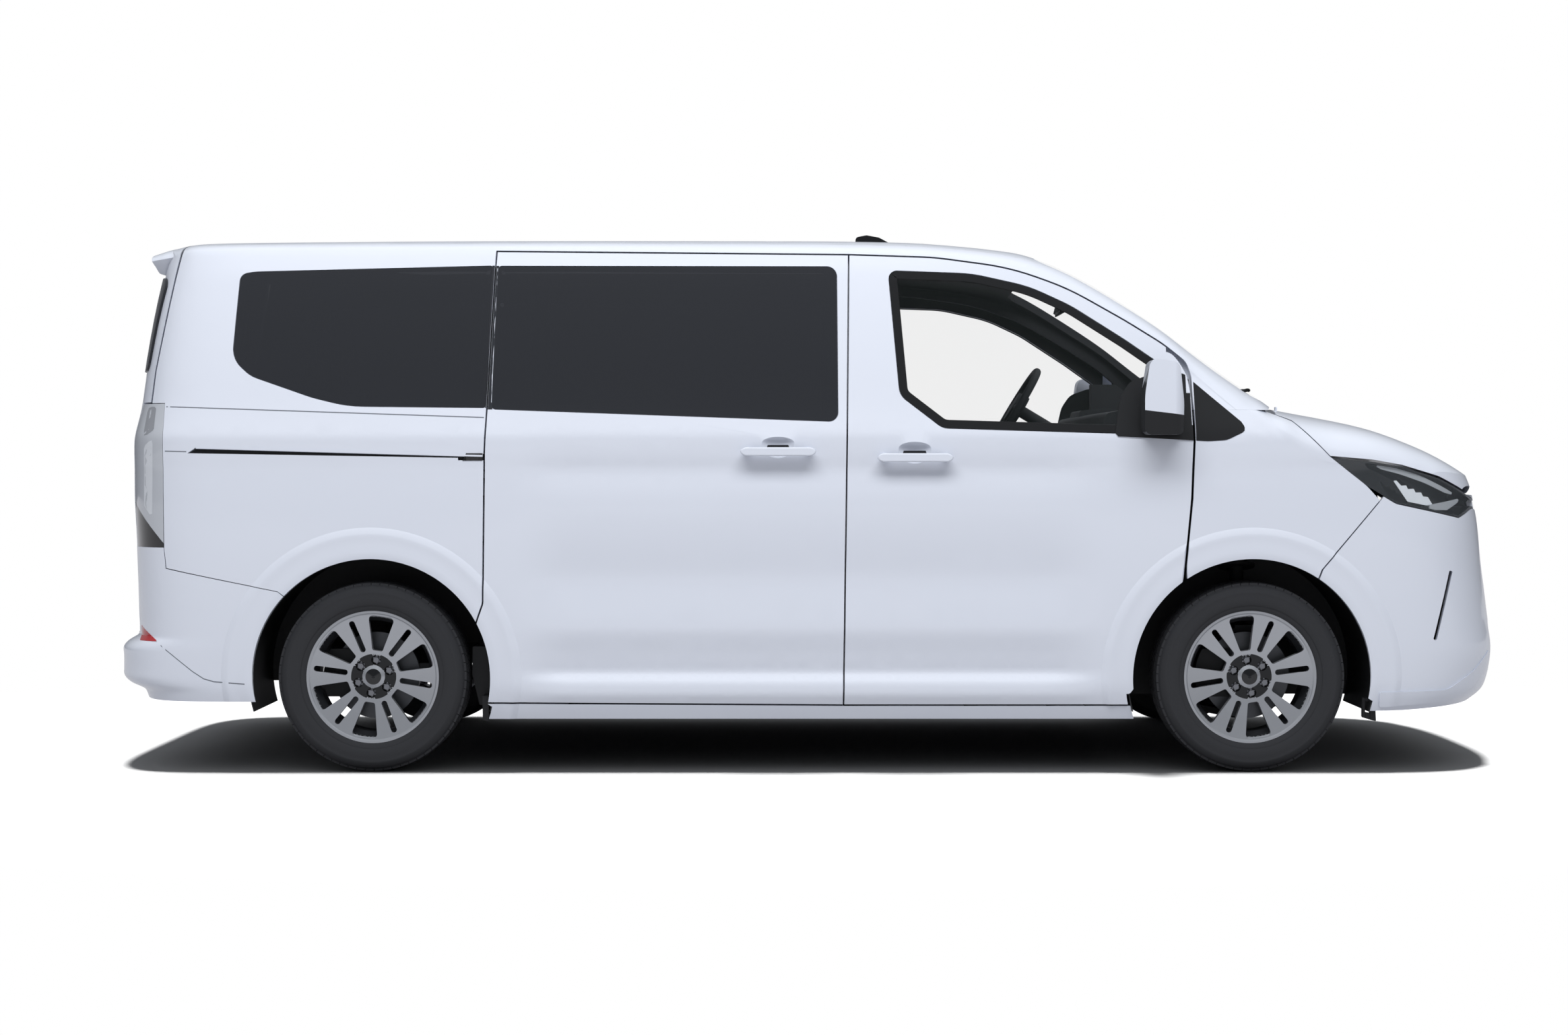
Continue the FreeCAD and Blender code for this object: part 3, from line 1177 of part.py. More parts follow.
def dashboard():
    outline = [(1395, 860), (1395, 1180), (1560, 1215), (1560, 1235), (1330, 1265, 60), (1120, 1285, 60),
               (1050, 1270, 20), (1030, 1180, 30), (1060, 1050, 60), (1120, 900, 40), (1180, 860, 40)]
    panel = prism(outline, (-790, 790))
    hood = prism([(1100, 1200), (1300, 1200), (1300, 1262), (1200, 1312, 30), (1075, 1300, 12), (1062, 1240)],
                 (240, 560))
    foot = FLOOR_TOP + SEAT_GAP
    console = prism([(1300, foot), (1300, 1000), (1080, 1000), (1020, 900, 30), (1040, 740, 60), (1150, foot)],
                    (-110, 110))
    centre, axis = V(*STEERING_CENTRE), V(*STEERING_LEAN)
    column = [centre - axis * (STEERING_PAD_BACK + SEAT_GAP), centre - axis * 370]
    shaft = rod(tuple(column[0]), tuple(column[1]), 24)
    return main_solid(panel.multiFuse([hood, console, shaft]))


STEERING_CENTRE = (830.0, 400.0, 1314.0)
STEERING_RADIUS = 170.0
STEERING_LEAN = (-0.857, 0.0, 0.515)
STEERING_PAD_BACK = 30.0


def steering_wheel():
    centre = V(*STEERING_CENTRE)
    axis = V(*STEERING_LEAN)
    rim = Part.makeTorus(STEERING_RADIUS, 15, centre, axis)
    pad = Part.makeCylinder(62, 46, centre - axis * STEERING_PAD_BACK, axis)
    across = V(0, 1, 0)
    down = axis.cross(across)
    parts = [pad]
    for way in (across, across * -1, down):
        if way.z > 0:
            way = way * -1
        parts.append(Part.makeCylinder(13, STEERING_RADIUS - 20, centre + way * 20, way))
    wheel = rim.multiFuse(parts)
    return main_solid(wheel)


def seat(x_front, y, width, base_z, back_top, cushion_top, lean=140.0, cushion_length=480.0):
    """Cushion, leaning back and headrest of one seat or bench place."""
    x_back = x_front - cushion_length
    y0, y1 = y - width / 2, y + width / 2
    cushion = rounded_box(x_back, x_front, y0, y1, cushion_top - 120, cushion_top, 45)
    back = prism([(x_back + 30, cushion_top - 100, 30), (x_back + 130, cushion_top - 90, 30),
                  (x_back + 95 - lean, back_top, 40), (x_back + 5 - lean, back_top, 40)], (y0, y1))
    head = prism([(x_back + 5 - lean, back_top + 30, 25), (x_back + 92 - lean, back_top + 30, 25),
                  (x_back + 76 - lean, back_top + 190, 35), (x_back - 4 - lean, back_top + 190, 35)],
                 (y - 135, y + 135))
    neck = box(x_back + 35 - lean, x_back + 50 - lean, y - 60, y + 60, back_top - 20, back_top + 50)
    leg = box(x_back + 60, x_front - 60, y0 + 80, y1 - 80, base_z, cushion_top - 100)
    return main_solid(cushion.multiFuse([back, head, neck, leg]))


# Small outer parts

def mirror_head():
    """Door mirror: a rounded head on a short foot."""
    head = prism([(1141, 1190, 24), (1278, 1190, 20), (1281, 1300, 300), (1262, 1440, 30), (1160, 1456, 30),
                  (1141, 1330, 300)], (-1137, -1035))
    plan = [(1120, -1140, 10), (1285, -1140, 70), (1285, -1030, 14), (1120, -1030, 10)]
    side = prism(plan, (1180, 1470), 0, "XY")
    head = head.common(side)
    foot = prism([(1172, 1200, 12), (1290, 1200, 12), (1284, 1236, 10), (1190, 1244, 12)], (-1060, -940))
    body = head.fuse(foot)
    return body


def mirror():
    body = mirror_head()
    xs = spread(1100, 1360, 52)
    zs = [z for z in FLANK_HEIGHTS if z > 1100]
    skin = [[skin_point(x, z, -SEAT_GAP) for z in zs] for x in xs]
    inside = slab(skin, [[skin_point(x, z, 300) for z in zs] for x in xs])
    return main_solid(body.cut(inside))


def cowl():
    """Tray and wall between the screen and the engine bay, with the towers of the bonnet hinges."""
    section = [(1412.5, 1150), (1745, 1150), (1745, 1158), (1600, 1158), (1584, 1158), (1412.5, 1158)]
    tray = prism(section, (-780, 780))
    wall = box(1576, 1584, -780, 780, 1150, 1400).cut(screen_slab(-300, 1 + GLASS_THICKNESS + SEAT_GAP))
    wall = wall.cut(prism([(1300, 1150), (1576, 1160), (1576, 1500), (1300, 1500)], (-1000, 1000)))
    parts = [main_solid(wall)]
    x, z = BONNET_HINGE
    for side in (-1, 1):
        y = side * BONNET_HINGE_Y
        for y0 in (y - 25, y + 17):
            parts.append(box(1580, x + 12, y0, y0 + 8, 1150, z))
            parts.append(cylinder_y(x, z, 12, y0, y0 + 8))
        parts.append(cylinder_y(x, z, HINGE_PIN_RADIUS, y - 25, y + 25))
    return main_solid(tray.multiFuse(parts))


def aerial():
    shape = prism([(166, 1900), (351, 1900), (338, 1925, 20), (262, 1966, 30), (214, 1975, 12), (172, 1968, 12),
                   (168, 1920, 10)], (-28, 28))
    fin = [(166, 0, 0), (190, -22, 30), (300, -26, 60), (351, -3, 3), (351, 3, 3), (300, 26, 60), (190, 22, 30)]
    shape = shape.common(prism(fin, (1800, 2000), 0, "XY"))
    grid = [[p + V(0, 0, SEAT_GAP) for p in crown_row(x)] for x in spread(0, 500, 50)]
    return main_solid(shape.cut(slab(grid, [[p - V(0, 0, 200) for p in row] for row in grid])))


def both(shape):
    return [shape, mirrored(shape)]


def build():
    keep("floor_pan", floor_pan())
    keep("roof_panel", roof_panel())
    side = side_panel()
    keep("side_panel_right", side)
    keep("side_panel_left", mirrored(side))
    door = sliding_door()
    keep("sliding_door_right", door)
    keep("sliding_door_left", mirrored(door))
    keep("side_glass", *both(pane(QUARTER_WINDOW)), *both(window_pane(SLIDING_WINDOW, SLIDING_DOOR_XS)))
    keep("windscreen", windscreen())
    keep("front_wings", *both(front_wing()))
    keep("front_bumper", front_bumper())
    keep("grille", *grilles())
    keep("rear_bumper", rear_bumper())
    keep("headlamp_housings", *both(headlamp_housing()))
    keep("headlamp_lenses", *both(headlamp_lens()))
    keep("tail_lamps", *both(tail_lamp()))
    keep("front_arch_liners", *both(front_liner()))
    keep("rear_arch_liners", *both(rear_liner()))
    keep("dashboard", dashboard())
    keep("steering_wheel", steering_wheel())
    keep("front_seats", *both(seat(700, -430, 520, FLOOR_TOP + SEAT_GAP, 1460, 930)))
    places = []
    for row_front in (-420.0, -1320.0):
        for y in (-420.0, 0.0, 420.0):
            places.append(seat(row_front, y, 412, FLOOR_TOP + SEAT_GAP, 1440, 930))
    keep("passenger_seats", *places)
    keep("engine", box(1560, 2080, -350, 350, 420, 980))
    keep("front_subframe", front_subframe())
    keep("rear_axle", rear_axle())
    keep("cowl", cowl())
    keep("roof_aerial", aerial())
    door = front_door()
    keep("front_door_right", door)
    keep("front_door_left", mirrored(door))
    glass = window_pane(FRONT_WINDOW, FRONT_DOOR_XS)
    keep("front_door_glass_right", glass)
    keep("front_door_glass_left", mirrored(glass))
    head = mirror()
    keep("door_mirror_right", head)
    keep("door_mirror_left", mirrored(head))
    keep("bonnet", bonnet())
    keep("tailgate", tailgate())
    keep("tailgate_glass", tailgate_glass())
    hub = knuckle()
    keep("knuckle_right", hub)
    keep("knuckle_left", mirrored(hub))
    for place, hub_x, turn in (("front", FRONT_AXLE_X, -FRONT_WHEEL_TURN), ("rear", REAR_AXLE_X, 0.0)):
        rubber = tyre(hub_x)
        wheel = spoke_wheel(hub_x, turn)
        keep("tyre_%s_right" % place, rubber)
        keep("tyre_%s_left" % place, mirrored(rubber))
        keep("wheel_rim_%s_right" % place, wheel)
        keep("wheel_rim_%s_left" % place, mirrored(wheel))


if __name__ == "__main__":
    build()
    os.makedirs("parts", exist_ok=True)
    for name, shape in NODES.items():
        shape.exportStep("parts/%s.step" % name)
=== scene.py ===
"""Looks of the medium minibus: finishes, trims, lamps, tyres and the studio it stands in."""
import bmesh
import bpy
import math
from mathutils import Matrix, Vector
from mathutils.bvhtree import BVHTree


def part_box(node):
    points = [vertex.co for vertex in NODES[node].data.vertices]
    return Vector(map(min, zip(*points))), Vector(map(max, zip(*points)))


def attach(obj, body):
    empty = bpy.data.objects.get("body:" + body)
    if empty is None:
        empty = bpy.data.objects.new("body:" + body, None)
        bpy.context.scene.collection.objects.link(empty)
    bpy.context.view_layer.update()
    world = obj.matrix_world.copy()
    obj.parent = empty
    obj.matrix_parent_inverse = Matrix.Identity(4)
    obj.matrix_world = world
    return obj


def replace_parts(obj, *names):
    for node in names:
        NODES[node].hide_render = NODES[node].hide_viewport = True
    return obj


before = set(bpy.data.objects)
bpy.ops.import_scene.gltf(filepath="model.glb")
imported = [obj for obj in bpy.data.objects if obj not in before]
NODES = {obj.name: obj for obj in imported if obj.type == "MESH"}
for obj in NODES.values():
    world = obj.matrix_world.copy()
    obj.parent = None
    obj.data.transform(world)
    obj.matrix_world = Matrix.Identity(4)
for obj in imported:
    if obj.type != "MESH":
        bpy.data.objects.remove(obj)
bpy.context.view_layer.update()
MM = 0.001

SIDES = {"right": -1, "left": 1}
SURFACE_NORMAL = "surface_normal"
FRONT_AXLE_X = 1.540
REAR_AXLE_X = -1.560
HUB_Z = 0.336


# Finishes

def linear(code):
    """An sRGB hex colour as linear red, green, blue and alpha."""
    parts = [int(code[i:i + 2], 16) / 255 for i in (1, 3, 5)]
    return tuple(c / 12.92 if c <= 0.04045 else ((c + 0.055) / 1.055) ** 2.4 for c in parts) + (1.0,)


def add(tree, kind, settings=None, **links):
    """Adds a node, sets its sockets and properties, and links named inputs to other nodes' outputs."""
    node = tree.nodes.new(kind)
    for key, value in (settings or {}).items():
        if key in node.inputs:
            node.inputs[key].default_value = value
        else:
            setattr(node, key, value)
    for key, socket in links.items():
        tree.links.new(socket, node.inputs[key.replace("_", " ")])
    return node


def finish_of(name, colour, roughness, metallic=0.0, **extra):
    material = bpy.data.materials.new(name)
    material.use_nodes = True
    shader = material.node_tree.nodes["Principled BSDF"]
    shader.inputs["Base Color"].default_value = linear(colour)
    shader.inputs["Roughness"].default_value = roughness
    shader.inputs["Metallic"].default_value = metallic
    for key, value in extra.items():
        shader.inputs[key.replace("_", " ")].default_value = value
    return material


def grain(material, size_mm, strength, distance_mm=0.2):
    """Fine moulded grain as bump, sized in millimetres."""
    tree = material.node_tree
    place = add(tree, "ShaderNodeTexCoord")
    noise = add(tree, "ShaderNodeTexNoise", {"Scale": 1000 / size_mm, "Detail": 2.0},
                Vector=place.outputs["Object"])
    bump = add(tree, "ShaderNodeBump", {"Strength": strength, "Distance": distance_mm * MM},
               Height=noise.outputs["Fac"])
    tree.links.new(bump.outputs["Normal"], tree.nodes["Principled BSDF"].inputs["Normal"])
    return material


# Baked two-coat enamel on steel: a pale cool white under a smooth clear coat, so it mirrors the room softly.
ENAMEL = finish_of("baked_enamel_cool_white", "#D9DEE9", 0.34, Coat_Weight=0.7, Coat_Roughness=0.07)
# Body-tinted toughened glass: nearly black from outside, with the far windows just showing through.
PRIVACY = finish_of("tinted_toughened_glass", "#26282D", 0.05, Alpha=0.9)
# Black ceramic, fired on the glass edge: as smooth and dark as the glass it borders.
FRIT = finish_of("fired_black_ceramic_border", "#2A2C31", 0.05)
# Clear laminated glass, float-made: all but unseen against a pale room, with sharp thin reflections.
CLEAR = finish_of("clear_laminated_glass", "#4E5656", 0.02, Alpha=0.04)
# Moulded clear polycarbonate with a hard coat: the lamp's inside shows through a thin gloss.
LENS = finish_of("clear_polycarbonate_lens", "#8E959B", 0.02, Alpha=0.07)
# Moulded polypropylene with a fine grain that breaks its highlights up, so it looks dull black.
BLACK_PP = grain(finish_of("grained_black_polypropylene", "#1B1C1E", 0.55), 1.2, 0.3)
# Piano-black moulded plastic: deep black with sharp reflections.
GLOSS_BLACK = finish_of("gloss_black_abs", "#101113", 0.12, Coat_Weight=0.4)
# Extruded rubber: even soft black that swallows highlights.
SEAL = finish_of("extruded_black_rubber", "#141517", 0.6)
# Painted shade of a joint between pressed steel panels: a thin line a little darker than the enamel beside
# it, drawn in place of the shadow in the gap.
JOINT_SHADE = finish_of("painted_joint_shade", "#6B7078", 0.7)
# Pressed felt board of the cabin's lining: matt dark grey with a fine nap.
LINING = grain(finish_of("pressed_felt_lining_grey", "#2B2C2F", 0.8), 2.0, 0.3)
# Grained moulded plastic of the cabin: dull dark grey.
CABIN = grain(finish_of("grained_cabin_plastic_dark", "#2A2C2F", 0.6), 1.5, 0.3)
# Woven polyester cover: matt, with a faint pale sheen where it turns away. Its weave is drawn a little
# coarser than 1 mm, to show in the render.
CLOTH = grain(finish_of("woven_polyester_cloth", "#2E3034", 0.9, Sheen_Weight=0.3), 1.6, 0.6, 0.4)
# Sprayed underbody wax on steel: dull black that hides its form in shade.
CHASSIS = finish_of("sprayed_underbody_wax", "#161718", 0.7)
# Cast iron left as it came from the mould: rough dark grey.
CAST = finish_of("cast_iron_as_cast", "#4A4C4E", 0.55, 0.8)
# Cast aluminium wheel, diamond-turned on its face and lacquered: light grey metal with a broad shine.
ALLOY = finish_of("turned_aluminium_face", "#B6B9BE", 0.34, 0.75)
# Painted shade in the wells round the wheel's nuts: near black, slightly dull.
ALLOY_WELL_SHADE = finish_of("wheel_groove_lacquer_black", "#17181A", 0.5)
# Turned cast iron of the brake disc: dull grey with a faint shine.
DISC = finish_of("turned_iron_disc", "#5E6063", 0.42, 0.8)
# Zinc-plated steel nuts: small bright faces.
NUT = finish_of("zinc_plated_nut", "#8C8E93", 0.3, 0.9)
# Inside of the wheel's barrel: mid grey, painted darker than the face as painted shade for the hollow behind
# the spokes.
ALLOY_BARREL_SHADE = finish_of("aluminium_barrel_painted_shade", "#54565B", 0.34, 0.8)
# Vulcanised tyre rubber: dark grey, matt and slightly dusty.
RUBBER = finish_of("vulcanised_tyre_rubber", "#2C2D30", 0.74)
# Vacuum-metallised plastic of reflectors and mirror glass: a bright sharp mirror.
CHROME = finish_of("metallised_reflector", "#D9DCE0", 0.12, 1.0)
# Moulded acrylic light guide, unlit: milky white under gloss.
GUIDE = finish_of("acrylic_light_guide", "#E6ECF2", 0.25, Coat_Weight=0.5)
# Metallised trim behind the tail lens: pale smoky grey under gloss.
TAIL_CLEAR = finish_of("smoked_acrylic_tail_lens", "#B9BDC4", 0.1, Coat_Weight=0.6)
# Black acrylic: the dark foot of the tail lamp and the wells of the lamp modules.
TAIL_DARK = finish_of("black_acrylic", "#0D0D0F", 0.08, Coat_Weight=0.6)
# Milky acrylic strip of the tail lamp: the palest part of it.
TAIL_STRIP = finish_of("milky_acrylic_strip", "#D3D7DD", 0.25, Coat_Weight=0.5)
# Grey-tinted acrylic at the head of the tail lamp.
TAIL_HOOD = finish_of("grey_acrylic_hood", "#8E9197", 0.12, Coat_Weight=0.6)
# Satin-metallised lamp trim: dim grey bands inside the headlamp.
GUIDE_DIM = finish_of("satin_metallised_trim", "#A6ABB0", 0.2, Coat_Weight=0.5)
# Moulded prismatic acrylic reflector: clear deep red.
RED = finish_of("prismatic_red_acrylic", "#A8121A", 0.15, Coat_Weight=0.5)
# Blank pressed aluminium plate with a white film: plain satin white.
PLATE = finish_of("blank_white_film_plate", "#E2E4E6", 0.4)

FINISHES = {
    "floor_pan": CHASSIS, "side_glass": PRIVACY, "windscreen": CLEAR, "grille": BLACK_PP,
    "headlamp_housings": GLOSS_BLACK, "headlamp_lenses": LENS, "front_arch_liners": BLACK_PP,
    "rear_arch_liners": BLACK_PP, "dashboard": CABIN, "steering_wheel": CABIN, "front_seats": CLOTH,
    "passenger_seats": CLOTH, "engine": CAST, "front_subframe": CHASSIS, "rear_axle": CHASSIS,
    "cowl": BLACK_PP, "roof_aerial": GLOSS_BLACK, "tailgate_glass": PRIVACY, "front_wings": ENAMEL,
    "front_bumper": ENAMEL, "rear_bumper": ENAMEL, "bonnet": ENAMEL, "tailgate": ENAMEL,
    "roof_panel": ENAMEL, "tail_lamps": TAIL_CLEAR}
SIDE_FINISHES = {"side_panel_": ENAMEL, "sliding_door_": ENAMEL, "front_door_": ENAMEL,
                 "front_door_glass_": CLEAR, "door_mirror_": ENAMEL, "knuckle_": CHASSIS}
for side in SIDES:
    FINISHES.update({node + side: material for node, material in SIDE_FINISHES.items()})
    for end in ("front", "rear"):
        FINISHES.update({"tyre_%s_%s" % (end, side): RUBBER, "wheel_rim_%s_%s" % (end, side): ALLOY})


def dress(node, *materials):
    mesh = NODES[node].data
    mesh.materials.clear()
    for material in materials:
        mesh.materials.append(material)


def merged_copy(node):
    """The node's mesh with its doubled points joined, as a bmesh that remembers the surface normals."""
    source = NODES[node].data
    shape = bmesh.new()
    shape.from_mesh(source)
    layer = shape.loops.layers.float_vector.new(SURFACE_NORMAL)
    normals = [corner.vector.copy() for corner in source.corner_normals]
    for face in shape.faces:
        for loop, index in zip(face.loops, source.polygons[face.index].loop_indices):
            loop[layer] = normals[index]
    bmesh.ops.remove_doubles(shape, verts=shape.verts, dist=1e-6)
    return shape


def placed(name, data):
    """An object in the scene, at the origin."""
    piece = bpy.data.objects.new(name, data)
    bpy.context.scene.collection.objects.link(piece)
    return piece


def publish(name, shape, *materials, angle=30):
    """A named object from a bmesh, smooth except at its edges, or with the normals it remembers."""
    mesh = bpy.data.meshes.new(name)
    shape.to_mesh(mesh)
    shape.free()
    for material in materials:
        mesh.materials.append(material)
    mesh.shade_smooth()
    kept = mesh.attributes.get(SURFACE_NORMAL)
    if kept:
        mesh.normals_split_custom_set([item.vector.normalized() for item in kept.data])
        mesh.attributes.remove(mesh.attributes[SURFACE_NORMAL])
    else:
        mesh.set_sharp_from_angle(angle=math.radians(angle))
    return placed(name, mesh)


def ride(piece, body):
    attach(piece, body)
    return piece


for node, material in FINISHES.items():
    dress(node, material)


# Steps that many of the shapes share

def metres(points):
    return [tuple(v * MM for v in p) for p in points]


def between(value, limits):
    return limits[0] < value < limits[1]


def outward(shape):
    """Turns the faces of a closed shape outwards."""
    bmesh.ops.recalc_face_normals(shape, faces=shape.faces)


def slice_at(shape, place, normal, drop_outer=False):
    """Cuts the whole shape along a plane, and drops what lies beyond it where asked."""
    bmesh.ops.bisect_plane(shape, geom=shape.verts[:] + shape.edges[:] + shape.faces[:], plane_co=place,
                           plane_no=normal, clear_outer=drop_outer)


def close_holes(shape):
    bmesh.ops.holes_fill(shape, edges=[e for e in shape.edges if e.is_boundary], sides=0)


def bridge(shape, low, high):
    """Faces between two closed rings of as many points."""
    for i in range(len(low)):
        j = (i + 1) % len(low)
        shape.faces.new((low[i], low[j], high[j], high[i]))


# Skin of the body as packed, to lay trims on

class Skin:
    """The surface of some nodes together, to find points on."""

    def __init__(self, *nodes):
        points, faces = [], []
        for node in nodes:
            mesh = NODES[node].data
            start = len(points)
            points += [v.co.copy() for v in mesh.vertices]
            faces += [[start + i for i in face.vertices] for face in mesh.polygons]
        self.tree = BVHTree.FromPolygons(points, faces)

    def side(self, x, z, way=-1):
        """Point of the flank at x, z, from the right (-1) or the left (1)."""
        hit = self.tree.ray_cast(Vector((x, way * 3.0, z)), Vector((0, -way, 0)))
        return hit[0]


FLANK_NODES = ["side_panel_", "sliding_door_", "front_door_", "front_door_glass_"]
FLANK = Skin(*[n + s for s in SIDES for n in FLANK_NODES], "side_glass", "front_wings", "front_bumper",
             "rear_bumper", "tail_lamps", "tailgate", "headlamp_lenses", "tailgate_glass")


def corner_rounded(points, step=0.012):
    """Closed outline of (a, b, radius) corners as points about a step apart."""
    count = len(points)
    line = []
    for i in range(count):
        here = Vector(points[i][:2])
        before, after = Vector(points[i - 1][:2]), Vector(points[(i + 1) % count][:2])
        radius = points[i][2] if len(points[i]) > 2 else 0.0
        p, n = (before - here), (after - here)
        bend = p.angle(n)
        reach = min(radius / math.tan(bend / 2), 0.49 * p.length, 0.49 * n.length) if radius else 0.0
        start, end = here + p.normalized() * reach, here + n.normalized() * reach
        steps = max(1, round((math.pi - bend) * radius / step)) if radius else 0
        for k in range(steps + 1):
            t = k / steps if steps else 0
            line.append(start * (1 - t) ** 2 + here * 2 * t * (1 - t) + end * t ** 2)
    result = []
    for a, b in zip(line, line[1:] + line[:1]):
        length = (b - a).length
        pieces = max(1, round(length / step))
        result += [a + (b - a) * k / pieces for k in range(pieces)]
    return result


def inset(line, distance):
    """The closed line moved inwards by a distance, for a line that runs clockwise or the other way."""
    area = sum(a.x * b.y - b.x * a.y for a, b in zip(line, line[1:] + line[:1]))
    turn = 1 if area > 0 else -1
    moved = []
    for i, point in enumerate(line):
        along = line[(i + 1) % len(line)] - line[i - 1]
        along.normalize()
        moved.append(point + Vector((-along.y, along.x)) * distance * turn)
    return moved


BAND_CHAMFER = 0.0012


def flank_band(name, outline, width, proud, material, side, depth=0.004):
    """A strip that follows a closed outline on the flank, its back let into the skin."""
    way = SIDES[side]
    outer = corner_rounded(outline)
    rings = []
    for line, lift in ((outer, -depth), (inset(outer, BAND_CHAMFER), proud),
                       (inset(outer, width - BAND_CHAMFER), proud), (inset(outer, width), -depth)):
        ring = []
        for p in line:
            hit = FLANK.side(p.x, p.y, way)
            ring.append(Vector((p.x, (abs(hit.y) + lift) * way, p.y)))
        rings.append(ring)
    shape = bmesh.new()
    loops = [[shape.verts.new(p) for p in ring] for ring in rings]
    for first, second in zip(loops, loops[1:] + loops[:1]):
        bridge(shape, first, second)
    outward(shape)
    return publish(name, shape, material)


FAR = 9


def flank_plate(name, outline, proud, material, side, depth=0.003, cell=0.014, keep_x=(-FAR, FAR)):
    """A thin plate that covers an outline on the flank, between two ends in X, and follows its curve."""
    way = SIDES[side]
    line = corner_rounded(outline, cell)
    shape = bmesh.new()
    shape.faces.new([shape.verts.new((p.x, 0, p.y)) for p in line])
    lows = [min(p.x for p in line), min(p.y for p in line)]
    highs = [max(p.x for p in line), max(p.y for p in line)]
    for low, high, normal in ((lows[0], highs[0], Vector((1, 0, 0))), (lows[1], highs[1], Vector((0, 0, 1)))):
        count = int((high - low) / cell)
        for k in range(1, count):
            slice_at(shape, normal * (low + (high - low) * k / count), normal)
    for limit, way_x in ((keep_x[0], -1), (keep_x[1], 1)):
        if abs(limit) < FAR:
            slice_at(shape, Vector((limit, 0, 0)), Vector((way_x, 0, 0)), drop_outer=True)
    made = bmesh.ops.extrude_face_region(shape, geom=shape.faces[:])
    lifted = {g for g in made["geom"] if isinstance(g, bmesh.types.BMVert)}
    for vert in shape.verts:
        hit = FLANK.side(vert.co.x, vert.co.z, way)
        lift = proud if vert in lifted else -depth
        vert.co.y = (abs(hit.y) + lift) * way if hit else 0.0
    off_the_skin = [v for v in shape.verts if v.co.y == 0.0]
    bmesh.ops.delete(shape, geom=off_the_skin, context="VERTS")
    close_holes(shape)
    outward(shape)
    return publish(name, shape, material)


# Cabin lining on the inner faces of the shell

LINING_DEPTH = 0.030
SURELY_INSIDE = 0.055
FACES_CABIN = -0.35
# The slot of the sliding door's rail: its ends, foot and head, and how far out its back wall lies.
SLOT_ENDS = (-2.10, -1.15)
SLOT_HEIGHTS = (1.085, 1.150)
SLOT_BACK = (0.968, 0.999)


def outer_gap(face, way):
    """How far a face lies inside the outermost point of the flank beside it."""
    centre = face.calc_center_median()
    hit = FLANK.side(centre.x, centre.z, way)
    return abs(hit.y) - abs(centre.y) if hit else 0.0


# Each handle: ends of its pull bar along X, middle height, and the centre of its finger cup.
HANDLES = {"sliding_door_": ((-0.260, 0.005), 1.1315, (-0.128, 1.160)),
           "front_door_": ((0.220, 0.485), 1.1105, (0.352, 1.140))}
CUP_RADIUS = 0.0665
CUP_DEPTH = 0.10
CUP_HEIGHT_SHARE = 0.45
BAR_STANDOFF = 0.016
BAR_END_TAPER = 0.45


def shape_handle(shape, ends, mid_z, cup, way):
    """Flattens the finger cup above the pull bar, and tapers the bar towards its ends."""
    mid_x = (ends[0] + ends[1]) / 2
    half = (ends[1] - ends[0]) / 2
    face = abs(FLANK.side(mid_x, mid_z - 0.05, way).y)
    for vert in shape.verts:
        place = vert.co
        rise = place.z - cup[1]
        if abs(place.y) > face + BAR_STANDOFF and abs(place.x - mid_x) < half + 0.001:
            place.z = mid_z + (place.z - mid_z) * (1 - BAR_END_TAPER * ((place.x - mid_x) / half) ** 2)
        elif 0 < rise and math.hypot(place.x - cup[0], rise) < CUP_RADIUS and abs(place.y) > face - CUP_DEPTH:
            place.z = cup[1] + rise * CUP_HEIGHT_SHARE


def line_inside(node, way):
    """Enamel outside, lining on what faces the cabin, and black in the slot of the rail."""
    shape = merged_copy(node)
    for door, (ends, mid_z, cup) in HANDLES.items():
        if node.startswith(door):
            shape_handle(shape, ends, mid_z, cup, way)
    for face in shape.faces:
        outwards = face.normal.y * way
        centre = face.calc_center_median()
        gap = outer_gap(face, way)
        if gap > SURELY_INSIDE or gap > LINING_DEPTH and outwards < FACES_CABIN:
            face.material_index = 1
        elif between(centre.x, SLOT_ENDS) and between(centre.z, SLOT_HEIGHTS):
            if between(abs(centre.y), SLOT_BACK) and outwards > 0.5:
                face.material_index = 2
    return publish(node + "_dressed", shape, ENAMEL, LINING, GLOSS_BLACK)


for side, way in SIDES.items():
    for node, body in (("side_panel_", "body"), ("sliding_door_", "body"),
                       ("front_door_", "front_door_" + side)):
        piece = ride(line_inside(node + side, way), body)
        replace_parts(piece, node + side)


def lined_roof():
    shape = merged_copy("roof_panel")
    for face in shape.faces:
        if face.normal.z < 0.2:
            face.material_index = 1
    return publish("roof_dressed", shape, ENAMEL, LINING)


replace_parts(ride(lined_roof(), "body"), "roof_panel")


# Seals and black trims on the flank

FRONT_WINDOW = metres([(262, 1775, 30), (559, 1764, 500), (761, 1719, 500), (909, 1650, 500),
                       (1098, 1529, 800), (1290, 1395, 10), (1290, 1196, 10), (1044, 1196, 100),
                       (450, 1214, 60), (300, 1330, 60)])
SAIL = metres([(1052, 1186, 10), (1078, 1325, 80), (1112, 1378, 60), (1190, 1406, 60), (1304, 1408, 14),
               (1505, 1231, 30), (1512, 1204, 20), (1445, 1172, 60), (1380, 1168, 200)])
# Where the black corner trim parts between the door and the wing. The wing's half is thinner, so that the
# mirror's foot clears it with the door open.
DOOR_EDGE, WING_EDGE = 1.3275, 1.3375
SAIL_PROUD = {"door": 0.004, "wing": 0.0015}
RAIL_BLOCK = metres([(-1236, 1126, 2), (-1162, 1126, 2), (-1162, 1100, 2), (-1236, 1100, 2)])

